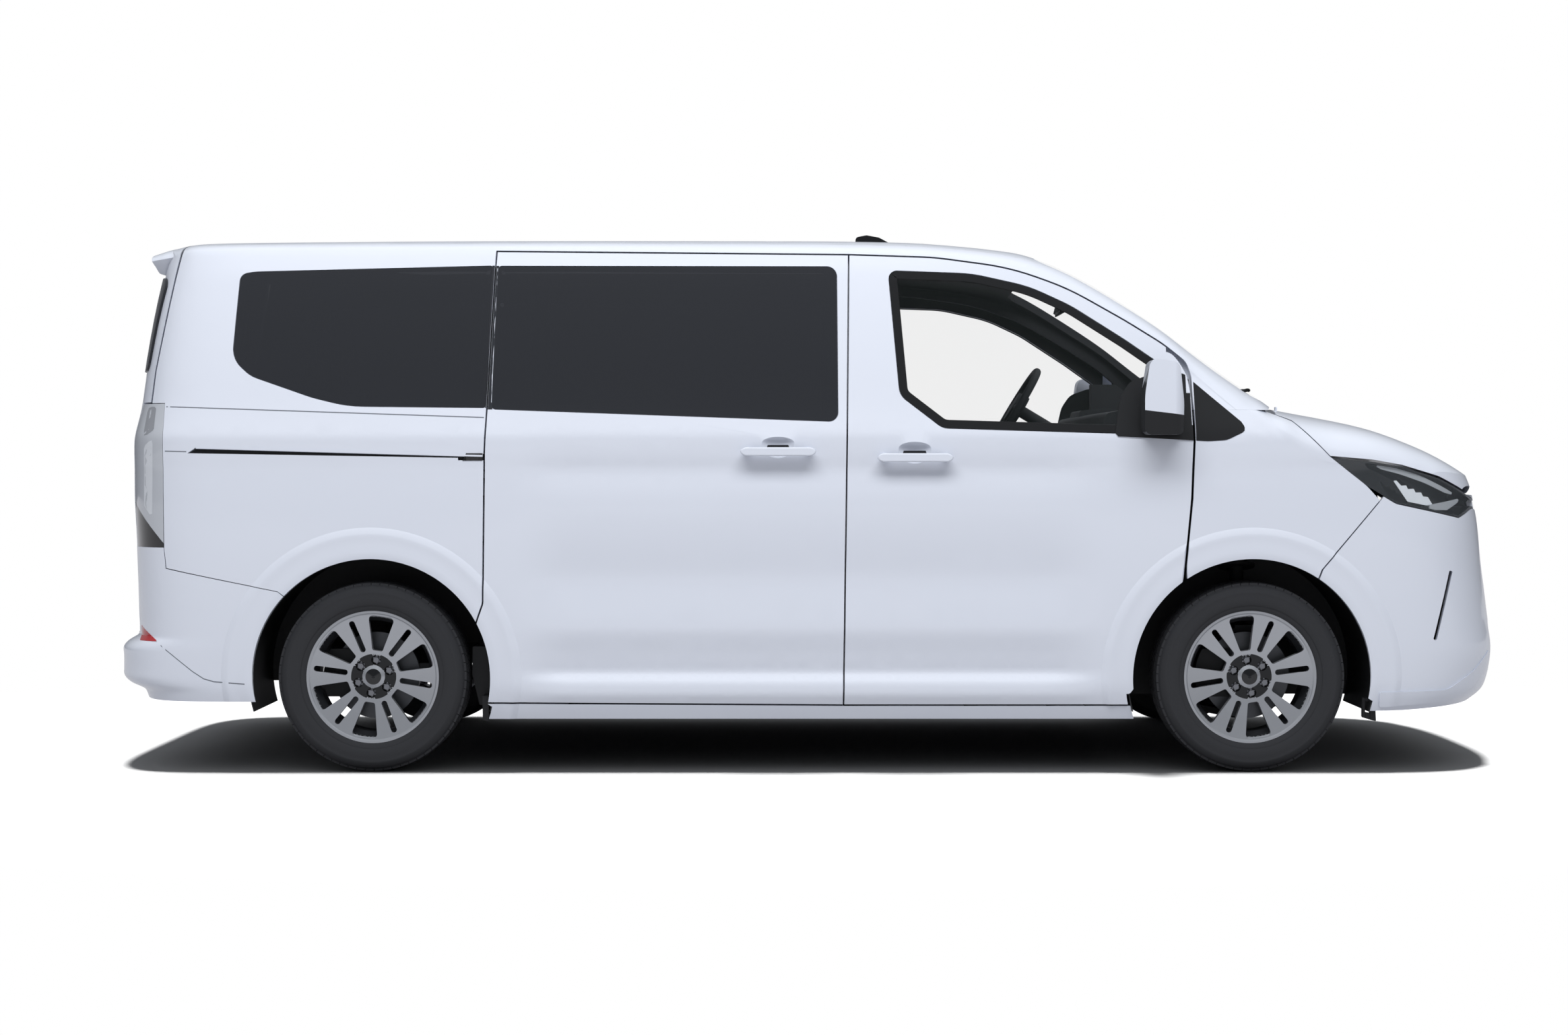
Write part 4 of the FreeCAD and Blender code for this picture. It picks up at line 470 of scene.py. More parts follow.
for side in SIDES:
    door = "front_door_" + side
    ride(flank_band("door_window_seal_" + side, FRONT_WINDOW, 0.030, 0.002, SEAL, side), door)
    ride(flank_plate("sail_on_door_" + side, SAIL, SAIL_PROUD["door"], BLACK_PP, side,
                     keep_x=(-FAR, DOOR_EDGE)), door)
    ride(flank_plate("sail_on_wing_" + side, SAIL, SAIL_PROUD["wing"], BLACK_PP, side,
                     keep_x=(WING_EDGE, FAR)), "body")
    ride(flank_plate("rail_end_block_" + side, RAIL_BLOCK, 0.0015, GLOSS_BLACK, side, depth=0.02), "body")


# Ceramic borders where the two side windows meet, and the lip over the door's rail

def flank_strip(name, first, second, proud, material, side, depth=0.002, step=0.025):
    """A thin strip on the flank between two lines of (x, z) corners, with its back let into the skin."""
    way = SIDES[side]
    shape = bmesh.new()
    rings = []
    for (a0, a1), (b0, b1) in zip(zip(first, first[1:]), zip(second, second[1:])):
        count = max(1, round((Vector(a1) - Vector(a0)).length / step))
        for k in range(1 if rings else 0, count + 1):
            ends = [Vector(a0).lerp(Vector(a1), k / count), Vector(b0).lerp(Vector(b1), k / count)]
            faces = [abs(FLANK.side(p.x, p.y, way).y) for p in ends]
            rings.append([shape.verts.new((ends[i].x, (faces[i] + lift) * way, ends[i].y))
                          for i, lift in ((0, -depth), (0, proud), (1, proud), (1, -depth))])
    for low, high in zip(rings, rings[1:]):
        bridge(shape, low, high)
    shape.faces.new(rings[0])
    shape.faces.new(rings[-1])
    outward(shape)
    return publish(name, shape, material)


QUARTER_BORDER = [(-1.143, 1.793), (-1.157, 1.285)], [(-1.1344, 1.793), (-1.1542, 1.285)]
SLIDING_BORDER = [(-1.1277, 1.792), (-1.1475, 1.280)], [(-1.1195, 1.792), (-1.1315, 1.280)]
WINDOW_SEAM = (-1.1312, 1.790), (-1.1505, 1.290)
SEAM_SEAL = 0.007
SEAM_SEAL_DEPTH = 0.0091
BESIDE_SEAM = 0.010


def seam_seal(side, steps=24):
    """A rubber bead deep in the gap between the two side windows."""
    way = SIDES[side]
    points = []
    for k in range(steps + 1):
        x, z = Vector(WINDOW_SEAM[0]).lerp(Vector(WINDOW_SEAM[1]), k / steps)
        hit = FLANK.side(x + BESIDE_SEAM, z, way)
        points.append(Vector((x, (abs(hit.y) - SEAM_SEAL_DEPTH) * way, z)))
    return bar("window_seam_seal_" + side, points, SEAM_SEAL, SEAM_SEAL, SEAL)


RAIL_TOP = ((-2.170, 1.1533), (-1.163, 1.1241))
RAIL_LIP_HEIGHT = 0.013


def rail_lip(side, steps=40):
    """A painted lip that hangs over the top of the rail's slot."""
    way = SIDES[side]
    points = []
    for k in range(steps + 1):
        x, z = Vector(RAIL_TOP[0]).lerp(Vector(RAIL_TOP[1]), k / steps)
        hit = FLANK.side(x, z + 0.006, way)
        points.append(Vector((x, (abs(hit.y) - 0.0015) * way, z + 0.001 - RAIL_LIP_HEIGHT / 2)))
    return bar("rail_lip_" + side, points, 0.005, RAIL_LIP_HEIGHT, ENAMEL)


# Painted shade along the welded joints of the quarter panel and along the crease of the rear bumper

JOINT_WIDTH = 0.0035
REAR_CREASE = [(-2.325, 0.463), (-2.262, 0.415), (-2.190, 0.358), (-2.150, 0.332), (-2.115, 0.322),
               (-2.005, 0.314)]


def joint_shade_line(name, points, side):
    """A thin line of painted shade along a joint or a crease of the flank, standing in for the shadow there.
    """
    below = [(x, z - JOINT_WIDTH / 2) for x, z in points]
    above = [(x, z + JOINT_WIDTH / 2) for x, z in points]
    ride(flank_strip(name + side, below, above, 0.0004, JOINT_SHADE, side, depth=0.001), "body")


for side in SIDES:
    ride(flank_strip("quarter_glass_border_" + side, *QUARTER_BORDER, 0.0006, FRIT, side), "body")
    ride(flank_strip("sliding_glass_border_" + side, *SLIDING_BORDER, 0.0006, FRIT, side), "body")
    # Painted shade: thin dark lines along the quarter panel's joints and the rear bumper's crease.
    joint_shade_line("upper_quarter_joint_shade_", [(-2.286, 1.290), (-1.160, 1.2515)], side)
    joint_shade_line("lower_quarter_joint_shade_", [(-2.284, 1.1335), (-2.204, 1.1315)], side)
    joint_shade_line("rear_bumper_crease_shade_", REAR_CREASE, side)


# Raised lip along the foot of the front bumper

BUMPER_LIP_PROUD = 0.006
CHIN_LIP = metres([(1990, 284, 4), (2242, 289, 60), (2352, 350, 60), (2440, 420, 6), (2452, 396, 6),
                   (2370, 300, 40), (2260, 246, 60), (1992, 230, 4)])
for side in SIDES:
    ride(flank_plate("chin_lip_" + side, CHIN_LIP, BUMPER_LIP_PROUD, ENAMEL, side), "body")


# Lamps and reflectors at the rear

LAMP_SPLIT = Vector((-2.400, 0, 0.925))
LAMP_SPLIT_SLOPE = Vector((1.07, 0, 1.0))


def tail_lamps():
    """The lamps' lenses, cut along a slope: smoky grey above it and black below."""
    shape = merged_copy("tail_lamps")
    slice_at(shape, LAMP_SPLIT, LAMP_SPLIT_SLOPE)
    for face in shape.faces:
        below = (face.calc_center_median() - LAMP_SPLIT).dot(LAMP_SPLIT_SLOPE) < 0
        face.material_index = 1 if below else 0
    return publish("tail_lamps_dressed", shape, TAIL_CLEAR, TAIL_DARK)


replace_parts(ride(tail_lamps(), "body"), "tail_lamps")
LAMP_STRIP = metres([(-2374, 940, 6), (-2338, 896, 6), (-2333, 1180, 10), (-2372, 1150, 16)])
LAMP_HOOD = metres([(-2378, 1180, 12), (-2331, 1208, 8), (-2328, 1290, 6), (-2366, 1292, 20)])
for side in SIDES:
    ride(flank_plate("tail_light_guide_" + side, LAMP_STRIP, 0.0006, TAIL_STRIP, side, depth=0.002), "body")
    ride(flank_plate("tail_lamp_hood_" + side, LAMP_HOOD, 0.0006, TAIL_HOOD, side, depth=0.002), "body")
REFLECTOR = metres([(-2400, 462, 2), (-2319, 462, 2), (-2404, 515, 2)])
for side in SIDES:
    ride(flank_plate("rear_reflector_" + side, REFLECTOR, 0.0015, RED, side), "body")


# Headlamps

LIGHT_GUIDE = metres([(2035, 1030, 2), (2047, 1030, 1), (2064, 1012, 1), (2082, 1013, 1), (2089, 1000, 1),
                      (2110, 1001, 1), (2117, 988, 1), (2138, 988, 1), (2145, 974, 1), (2164, 972, 2),
                      (2188, 936, 3), (2087, 956, 3)])
UPPER_GUIDE = metres([(1962, 1086, 3), (2040, 1075, 200), (2130, 1050, 300), (2215, 1012, 300),
                      (2290, 975, 4), (2235, 985, 60), (2150, 1022, 300), (2060, 1052, 200), (1990, 1070, 6)])
LOWER_TRIM = metres([(2130, 938, 4), (2300, 966, 4), (2290, 951, 4), (2240, 925, 4), (2150, 927, 4)])
# Each lamp module: its x, y, z and radius.
PROJECTORS = [(2.205, 0.748, 0.990, 0.034), (2.150, 0.812, 1.006, 0.028)]


def projector(name, x, y, z, radius):
    """A round lamp module that looks forward: bright ring, dark well and glass dome."""
    profile = [(-0.030, radius * 1.10), (0.0, radius * 1.16), (0.006, radius * 1.12), (0.004, radius * 0.98),
               (0.000, radius * 0.92), (0.010, radius * 0.78), (0.016, radius * 0.5), (0.018, radius * 0.02)]
    shape = lathe(profile, 40)
    close_holes(shape)
    bmesh.ops.rotate(shape, verts=shape.verts, matrix=Matrix.Rotation(math.radians(-90), 3, "Z"))
    for face in shape.faces:
        reach = math.hypot(*face.calc_center_median().yz)
        face.material_index = 1 if reach < radius * 0.86 else 0
    bmesh.ops.translate(shape, verts=shape.verts, vec=(x, y, z))
    outward(shape)
    return publish(name, shape, CHROME, TAIL_DARK)


# Wheels and tyres

TREAD_RADIUS = 0.3358
GROOVE_RADIUS = 0.3290
TREAD_PITCHES = 66
RIB_EDGES = [(-0.088, -0.056), (-0.048, -0.019), (-0.0135, 0.0135), (0.019, 0.048), (0.056, 0.088)]
# Shares of a pitch that a block fills and that its sipes slant, and the fall of the two outer ribs.
BLOCK_SHARE = 0.93
SIPE_SLANT = 0.30
SHOULDER_START, SHOULDER_WIDTH, SHOULDER_DROP = 0.056, 0.032, 0.0040
# Half of the tyre's outline, from the middle of the tread to the bead, and half of its inner wall.
CASING = [(0.0, 0.3290), (0.056, 0.3288), (0.076, 0.3275), (0.088, 0.3245), (0.098, 0.317),
          (0.1045, 0.303), (0.1058, 0.300), (0.1058, 0.296), (0.1052, 0.2945), (0.1074, 0.284),
          (0.1063, 0.270), (0.1030, 0.256), (0.1012, 0.2535), (0.0990, 0.2535), (0.0975, 0.246),
          (0.0925, 0.2375), (0.0905, 0.2352), (0.084, 0.2342)]
CASING_INSIDE = [(0.078, 0.228), (0.090, 0.262), (0.086, 0.305), (0.060, 0.3195), (0.0, 0.3205)]


def lathe(profile, steps, closed=False):
    """A surface of revolution about the Y axis from (y, radius) points."""
    shape = bmesh.new()
    angles = [2 * math.pi * k / steps for k in range(steps)]
    rings = [[shape.verts.new((r * math.cos(a), y, r * math.sin(a))) for a in angles] for y, r in profile]
    for low, high in zip(rings, rings[1:] + rings[:1] if closed else rings[1:]):
        bridge(shape, low, high)
    return shape


def tread_pitch():
    """One pitch of the tread: five ribs' blocks with a slanted sipe between each and the next."""
    shape = bmesh.new()
    half = math.pi / TREAD_PITCHES
    for number, (y0, y1) in enumerate(RIB_EDGES):
        slant = SIPE_SLANT * half * (1 if number % 2 else -1)
        corners = []
        for r in (GROOVE_RADIUS - 0.001, TREAD_RADIUS):
            shrink = 0.0 if r < TREAD_RADIUS else 0.0008
            for y, lean in ((y0 + shrink, -slant), (y1 - shrink, slant)):
                reach = r - SHOULDER_DROP * max(0.0, (abs(y) - SHOULDER_START) / SHOULDER_WIDTH) ** 2
                for share in (-BLOCK_SHARE, 0.0, BLOCK_SHARE):
                    angle = half * share + lean
                    corners.append(shape.verts.new((reach * math.cos(angle), y, reach * math.sin(angle))))
        low, high = corners[:6], corners[6:]
        for ring in ((low[0], low[1], low[4], low[3]), (low[1], low[2], low[5], low[4])):
            shape.faces.new(ring)
        for ring in ((high[0], high[3], high[4], high[1]), (high[1], high[4], high[5], high[2])):
            shape.faces.new(ring)
        rim = [0, 1, 2, 5, 4, 3]
        bridge(shape, [low[k] for k in rim], [high[k] for k in rim])
    outward(shape)
    return shape


def round_the_hub(name, pitch, count, hub, material):
    """Repeats a piece round a wheel's axle with Geometry Nodes, and returns it as one plain mesh object."""
    tree = bpy.data.node_groups.new(name + "_repeat", "GeometryNodeTree")
    face = tree.interface
    face.new_socket("Geometry", in_out="INPUT", socket_type="NodeSocketGeometry")
    count_socket = face.new_socket("Pitches", in_out="INPUT", socket_type="NodeSocketInt")
    hub_socket = face.new_socket("Hub", in_out="INPUT", socket_type="NodeSocketVector")
    finish_socket = face.new_socket("Finish", in_out="INPUT", socket_type="NodeSocketMaterial")
    face.new_socket("Geometry", in_out="OUTPUT", socket_type="NodeSocketGeometry")
    given = add(tree, "NodeGroupInput")
    points = add(tree, "GeometryNodePoints", None, Count=given.outputs["Pitches"])
    number = add(tree, "GeometryNodeInputIndex")
    turn = add(tree, "ShaderNodeMath", {"operation": "DIVIDE"})
    tree.links.new(number.outputs[0], turn.inputs[0])
    tree.links.new(given.outputs["Pitches"], turn.inputs[1])
    angle = add(tree, "ShaderNodeMath", {"operation": "MULTIPLY"})
    tree.links.new(turn.outputs[0], angle.inputs[0])
    angle.inputs[1].default_value = 2 * math.pi
    spin = add(tree, "ShaderNodeCombineXYZ", None, Y=angle.outputs[0])
    laid = add(tree, "GeometryNodeInstanceOnPoints", None, Points=points.outputs[0],
               Instance=given.outputs["Geometry"], Rotation=spin.outputs[0])
    real = add(tree, "GeometryNodeRealizeInstances", None, Geometry=laid.outputs[0])
    moved = add(tree, "GeometryNodeTransform", None, Geometry=real.outputs[0],
                Translation=given.outputs["Hub"])
    finished = add(tree, "GeometryNodeSetMaterial", None, Geometry=moved.outputs[0],
                   Material=given.outputs["Finish"])
    add(tree, "NodeGroupOutput", None, Geometry=finished.outputs[0])
    seed = publish(name + "_pitch", pitch, material)
    modifier = seed.modifiers.new("repeat", "NODES")
    modifier.node_group = tree
    modifier[count_socket.identifier] = count
    modifier[hub_socket.identifier] = hub
    modifier[finish_socket.identifier] = material
    graph = bpy.context.evaluated_depsgraph_get()
    mesh = bpy.data.meshes.new_from_object(seed.evaluated_get(graph))
    bpy.data.objects.remove(seed)
    return placed(name, mesh)


def tyre_piece(end, side):
    """Casing with plain sidewall rings, and tread blocks round it."""
    low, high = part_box("tyre_%s_%s" % (end, side))
    hub = (low + high) / 2
    whole = [(-y, r) for y, r in reversed(CASING[1:])] + CASING
    whole += CASING_INSIDE + [(-y, r) for y, r in reversed(CASING_INSIDE[:-1])]
    shape = lathe(whole, 144, closed=True)
    bmesh.ops.translate(shape, verts=shape.verts, vec=hub)
    outward(shape)
    casing = publish("tyre_casing_%s_%s" % (end, side), shape, RUBBER, angle=38)
    tread = round_the_hub("tyre_tread_%s_%s" % (end, side), tread_pitch(), TREAD_PITCHES, hub, RUBBER)
    for piece in (casing, tread):
        ride(piece, "wheel_%s_%s" % (end, side))
    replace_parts(casing, "tyre_%s_%s" % (end, side))


BOLT_CIRCLE = 0.059
NUT_REACH = 0.0118
NUT_COUNT = 6
FIRST_NUT = {"front": 38.5, "rear": 81.5}
WHEEL_FINISHES = [ALLOY, ALLOY_BARREL_SHADE, DISC, CAST, GLOSS_BLACK, NUT, ALLOY_WELL_SHADE]
# Where the wheel's finishes change: reach from the axle, and depth from the middle of the vehicle.
DISC_REACH, DISC_DEPTH = 0.156, 0.8715
HUB_REACH, HUB_DEPTH = 0.0745, 0.9125
CAP_REACH, CAP_DEPTH = 0.0285, 0.938
BOLT_FACE_REACHES, BOLT_FACE_DEPTHS = (0.041, 0.0772), (0.919, 0.9395)
BARREL_REACHES, BARREL_DEPTH = (0.19, 0.2145), 0.945


def nut_or_well(centre, hub, end):
    """Bright for the nut itself, painted shade for the well round it."""
    for k in range(NUT_COUNT):
        angle = math.radians(FIRST_NUT[end] + 360 / NUT_COUNT * k)
        nut = hub + Vector((BOLT_CIRCLE * math.cos(angle), 0, BOLT_CIRCLE * math.sin(angle)))
        if math.hypot(centre.x - nut.x, centre.z - nut.z) < NUT_REACH:
            return NUT
    # The well round the nuts gets painted shade.
    return ALLOY_WELL_SHADE


def wheel_finish(centre, hub, end):
    """The finish of a face of the wheel from where its centre lies, with painted shade in the barrel and the
    nut wells.
    """
    reach = math.hypot(centre.x - hub.x, centre.z - hub.z)
    depth = abs(centre.y)
    if reach < DISC_REACH and depth < DISC_DEPTH:
        return DISC
    if reach < HUB_REACH and depth < HUB_DEPTH:
        return CAST
    if reach < CAP_REACH and depth > CAP_DEPTH:
        return GLOSS_BLACK
    if between(reach, BOLT_FACE_REACHES) and between(depth, BOLT_FACE_DEPTHS):
        return nut_or_well(centre, hub, end)
    # Painted shade: the barrel's inside, darker than the face.
    if between(reach, BARREL_REACHES) and depth < BARREL_DEPTH:
        return ALLOY_BARREL_SHADE
    return ALLOY


def wheel_piece(end, side):
    """The wheel with its own finish on the face, the nuts, the cap and the brake disc, and painted shade
    inside the barrel and in the wells round the nuts.
    """
    node = "wheel_rim_%s_%s" % (end, side)
    hub = Vector((FRONT_AXLE_X if end == "front" else REAR_AXLE_X, 0, HUB_Z))
    shape = merged_copy(node)
    for face in shape.faces:
        face.material_index = WHEEL_FINISHES.index(wheel_finish(face.calc_center_median(), hub, end))
    piece = publish(node + "_dressed", shape, *WHEEL_FINISHES)
    ride(piece, "wheel_%s_%s" % (end, side))
    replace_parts(piece, node)


for side, way in SIDES.items():
    ride(flank_plate("light_guide_" + side, LIGHT_GUIDE, -0.012, GUIDE, side, depth=0.018), "body")
    ride(flank_plate("upper_light_guide_" + side, UPPER_GUIDE, -0.012, GUIDE_DIM, side, depth=0.018), "body")
    ride(flank_plate("lamp_lower_trim_" + side, LOWER_TRIM, -0.009, GUIDE_DIM, side, depth=0.015), "body")
    for number, (x, y, z, radius) in enumerate(PROJECTORS):
        ride(projector("lamp_module_%d_%s" % (number, side), x, y * way, z, radius), "body")
for end in ("front", "rear"):
    for side in SIDES:
        tyre_piece(end, side)
        wheel_piece(end, side)


# Seats

SEAT_PAD_VOXEL = 0.014
SEAT_PAD_RISE = 0.016
SEAT_PAD_SLIM = 0.012
HEADREST_HALF_WIDTH = 0.135
SEAM_DEPTH, SEAM_WIDTH = 0.007, 0.010
INSERT_SHARE = 0.62
FRONT_SEAT = {"front": 0.700, "width": 0.520, "back_top": 1.460, "cushion_top": 0.930, "lean": 0.140}
REAR_SEAT = {"front": 0.0, "width": 0.412, "back_top": 1.440, "cushion_top": 0.930, "lean": 0.140}
CUSHION_LENGTH = 0.480


def side_block(shape, outline, y0, y1):
    """Adds a straight block with a side outline of (x, z) points."""
    near = [shape.verts.new((x, y0, z)) for x, z in outline]
    far = [shape.verts.new((x, y1, z)) for x, z in outline]
    shape.faces.new(near)
    shape.faces.new(list(reversed(far)))
    count = len(outline)
    for i in range(count):
        j = (i + 1) % count
        shape.faces.new((near[i], far[i], far[j], near[j]))


def seat_pads(spec):
    """Cushion, back and headrest of one seat as plain blocks, a little slimmer than the solid."""
    back_x = spec["front"] - CUSHION_LENGTH
    half = spec["width"] / 2
    top, lean = spec["cushion_top"], spec["lean"]
    shape = bmesh.new()
    s = SEAT_PAD_SLIM
    side_block(shape, [(back_x + s, top - 0.12 + s), (spec["front"] - s, top - 0.12 + s),
                       (spec["front"] - s, top - s), (back_x + s, top - s)], -half + s, half - s)
    high = spec["back_top"]
    side_block(shape, [(back_x + 0.03 + s, top - 0.09), (back_x + 0.13 - s, top - 0.08),
                       (back_x + 0.095 - lean - s, high - s), (back_x + 0.005 - lean + s, high - s)],
               -half + s, half - s)
    head_x = back_x - lean
    side_block(shape, [(head_x + 0.005 + s, high + 0.03 + s), (head_x + 0.092 - s, high + 0.03 + s),
                       (head_x + 0.076 - s, high + 0.19 - s), (head_x - 0.004 + s, high + 0.19 - s)],
               -HEADREST_HALF_WIDTH + s, HEADREST_HALF_WIDTH - s)
    outward(shape)
    return shape


def applied(piece):
    """The piece with its modifiers made part of its mesh."""
    graph = bpy.context.evaluated_depsgraph_get()
    mesh = bpy.data.meshes.new_from_object(piece.evaluated_get(graph))
    for modifier in list(piece.modifiers):
        piece.modifiers.remove(modifier)
    piece.data = mesh
    return piece


def padded_seat(name, spec):
    """Foam pads blown up under their cover, with the cover's seams drawn in."""
    piece = publish(name, seat_pads(spec), CLOTH, angle=180)
    remesh = piece.modifiers.new("even", "REMESH")
    remesh.mode, remesh.voxel_size = "VOXEL", SEAT_PAD_VOXEL
    soften = piece.modifiers.new("soften", "SMOOTH")
    soften.iterations = 6
    applied(piece)
    start = [v.co.copy() for v in piece.data.vertices]
    cloth = piece.modifiers.new("cover", "CLOTH")
    cloth.settings.use_pressure = True
    cloth.settings.uniform_pressure_force = 4.0
    cloth.settings.effector_weights.gravity = 0.0
    cloth.point_cache.frame_start, cloth.point_cache.frame_end = 1, 20
    for number in range(1, 21):
        bpy.context.scene.frame_set(number)
    applied(piece)
    for vert, origin in zip(piece.data.vertices, start):
        move = vert.co - origin
        if move.length > SEAT_PAD_RISE:
            vert.co = origin + move.normalized() * SEAT_PAD_RISE
    bpy.context.scene.frame_set(1)
    draw_seams(piece.data, spec)
    smooth = piece.modifiers.new("finer", "SUBSURF")
    smooth.levels = smooth.render_levels = 1
    return applied(piece)


def draw_seams(mesh, spec):
    """Presses the cover in along its seams: an insert up the middle, two cross channels on the cushion and
    two on the back, and two lines down the headrest.
    """
    half = spec["width"] / 2
    back_x = spec["front"] - CUSHION_LENGTH
    mesh.update()
    normals = [v.normal.copy() for v in mesh.vertices]
    for vert, normal in zip(mesh.vertices, normals):
        x, y, z = vert.co
        if z > spec["back_top"] + 0.015:
            near = abs(abs(y) - 0.095)
        else:
            if x > back_x + 0.14:
                channels = [abs(x - back_x - share * CUSHION_LENGTH) for share in (0.45, 0.72)]
            else:
                channels = [abs(z - spec["cushion_top"] - rise) for rise in (0.16, 0.32)]
            edge = INSERT_SHARE * half
            near = min([abs(abs(y) - edge)] + [c for c in channels if abs(y) < edge])
        vert.co = vert.co - normal * SEAM_DEPTH * math.exp(-(near / SEAM_WIDTH) ** 2)


def placed_copy(name, source, x, y):
    mesh = source.data.copy()
    mesh.transform(Matrix.Translation((x, y, 0)))
    return placed(name, mesh)


def seat_stand(name, spec, x, y):
    """Moulded base and headrest posts of a seat."""
    back_x = spec["front"] - CUSHION_LENGTH + x
    half = spec["width"] / 2
    shape = bmesh.new()
    side_block(shape, [(back_x + 0.06, 0.5205), (spec["front"] + x - 0.06, 0.5205),
                       (spec["front"] + x - 0.07, spec["cushion_top"] - 0.10),
                       (back_x + 0.07, spec["cushion_top"] - 0.10)], y - half + 0.08, y + half - 0.08)
    bmesh.ops.bevel(shape, geom=shape.edges[:], offset=0.015, segments=3, affect="EDGES")
    for post in (-0.055, 0.055):
        base = bmesh.ops.create_cone(shape, segments=14, radius1=0.006, radius2=0.006, depth=0.09,
                                     cap_ends=True)
        bmesh.ops.translate(shape, verts=base["verts"],
                            vec=(back_x + 0.042 - spec["lean"], y + post, spec["back_top"] + 0.012))
    outward(shape)
    return publish(name, shape, CABIN)


front_seat = padded_seat("front_seat_pad", FRONT_SEAT)
rear_seat = padded_seat("rear_seat_pad", REAR_SEAT)
pads = {"front_seats": [], "passenger_seats": []}
for number, y in enumerate((-0.430, 0.430)):
    pads["front_seats"].append((placed_copy("front_seat_cover_%d" % number, front_seat, 0, y),
                                seat_stand("front_seat_stand_%d" % number, FRONT_SEAT, 0, y)))
for row, x in enumerate((-0.420, -1.320)):
    for number, y in enumerate((-0.420, 0.0, 0.420)):
        pads["passenger_seats"].append(
            (placed_copy("row_%d_seat_cover_%d" % (row + 2, number), rear_seat, x, y),
             seat_stand("row_%d_seat_stand_%d" % (row + 2, number), REAR_SEAT, x, y)))
for node, pieces in pads.items():
    for cover, stand in pieces:
        ride(cover, "body")
        ride(stand, "body")
    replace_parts(pieces[0][0], node)
for source in (front_seat, rear_seat):
    bpy.data.objects.remove(source)


# Mirrors, wipers, air deflectors and plates

CAP_BOTTOM = 1.275
CAP_SLOPE = 0.12
CAP_BACK_X = 1.141
MIRROR_BACK_X = 1.150
MIRROR_GLASS_INNER_Y = 1.040
MIRROR_HEAD_INNER_Y = 1.034


def mirror_piece(side):
    """Door mirror with a painted cap over black, and silvered glass towards the driver."""
    node = "door_mirror_" + side
    shape = merged_copy(node)
    slice_at(shape, Vector((CAP_BACK_X, 0, CAP_BOTTOM)), Vector((CAP_SLOPE, 0, 1)))
    for face in shape.faces:
        centre = face.calc_center_median()
        cap_edge = CAP_BOTTOM - CAP_SLOPE * (centre.x - CAP_BACK_X)
        if centre.x < MIRROR_BACK_X and face.normal.x < -0.8 and abs(centre.y) > MIRROR_GLASS_INNER_Y:
            face.material_index = 2
        elif centre.z < cap_edge or abs(centre.y) < MIRROR_HEAD_INNER_Y:
            face.material_index = 1
    piece = publish(node + "_dressed", shape, ENAMEL, BLACK_PP, CHROME, angle=35)
    ride(piece, "front_door_" + side)
    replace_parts(piece, node)


def bar(name, points, width, height, material):
    """A flat bar along points, rounded by a bevel."""
    shape = bmesh.new()
    rings = []
    for i, point in enumerate(points):
        along = (points[min(i + 1, len(points) - 1)] - points[max(i - 1, 0)]).normalized()
        across = along.cross(Vector((0, 0, 1))).normalized()
        lift = across.cross(along).normalized()
        rings.append([shape.verts.new(point + across * width * a / 2 + lift * height * b / 2)
                      for a, b in ((-1, -1), (1, -1), (1, 1), (-1, 1))])
    for low, high in zip(rings, rings[1:]):
        bridge(shape, low, high)
    shape.faces.new(list(reversed(rings[0])))
    shape.faces.new(rings[-1])
    outward(shape)
    edges = [e for e in shape.edges if len(e.link_faces) == 2 and e.calc_face_angle(0) > 0.9]
    bmesh.ops.bevel(shape, geom=edges, offset=min(width, height) * 0.28, segments=2, affect="EDGES")
    return publish(name, shape, material, angle=40)


SCREEN = Skin("windscreen")
REAR_SCREEN = Skin("tailgate_glass")


def screen_points(y0, y1, lift, setback):
    """Points along the foot of the windscreen, a little behind its front edge."""
    points = []
    for k in range(13):
        y = y0 + (y1 - y0) * k / 12
        front = max(v.co.x for v in NODES["windscreen"].data.vertices if abs(v.co.y - y) < 0.06)
        hit = SCREEN.tree.ray_cast(Vector((front - setback, y, 3.0)), Vector((0, 0, -1)))
        if hit[0]:
            normal = hit[1] if hit[1].z > 0 else -hit[1]
            points.append(hit[0] + normal * lift)
    return points


def wipers():
    for name, y0, y1 in (("left", 0.66, 0.02), ("right", 0.0, -0.62)):
        blade = screen_points(y0, y1, 0.010, 0.055)
        arm = screen_points(y0, (y0 + y1) / 2, 0.024, 0.050)
        ride(bar("wiper_blade_" + name, blade, 0.010, 0.012, SEAL), "body")
        ride(bar("wiper_arm_" + name, arm, 0.014, 0.008, BLACK_PP), "body")


def rear_point(y, z, lift):
    hit = REAR_SCREEN.tree.ray_cast(Vector((-4.0, y, z)), Vector((1, 0, 0)))
    return hit[0] + Vector((-lift, 0, 0)) if hit[0] else Vector((-2.37, y, z))


def rear_wiper():
    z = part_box("tailgate_glass")[0].z + 0.07
    blade = [rear_point(0.02 + 0.38 * k / 8, z + 0.015, 0.010) for k in range(9)]
    arm = [rear_point(0.02 + 0.20 * k / 5, z - 0.015 + 0.03 * k / 5, 0.020) for k in range(6)]
    ride(bar("rear_wiper_blade", blade, 0.010, 0.010, SEAL), "tailgate")
    ride(bar("rear_wiper_arm", arm, 0.010, 0.018, BLACK_PP), "tailgate")


def plate(name, skin, toward, low, high, half_width, material, body):
    """A blank plate that lies on the nose or the tail and follows its curve."""
    shape = bmesh.new()
    rows = []
    for lift in (-0.001, 0.0035):
        for z in (low, high):
            row = []
            for k in range(9):
                y = half_width * (k / 4 - 1)
                hit = skin.tree.ray_cast(Vector((4.0 * toward, y, z)), Vector((-toward, 0, 0)))[0]
                row.append(shape.verts.new((hit.x + lift * toward, y, z)))
            rows.append(row)
    back_low, back_high, face_low, face_high = rows
    ring = [back_low, back_high, face_high, face_low]
    for first, second in zip(ring, ring[1:] + ring[:1]):
        for k in range(8):
            shape.faces.new((first[k], first[k + 1], second[k + 1], second[k]))
    for k in (0, 8):
        shape.faces.new([row[k] for row in ring])
    outward(shape)
    ride(publish(name, shape, material), body)


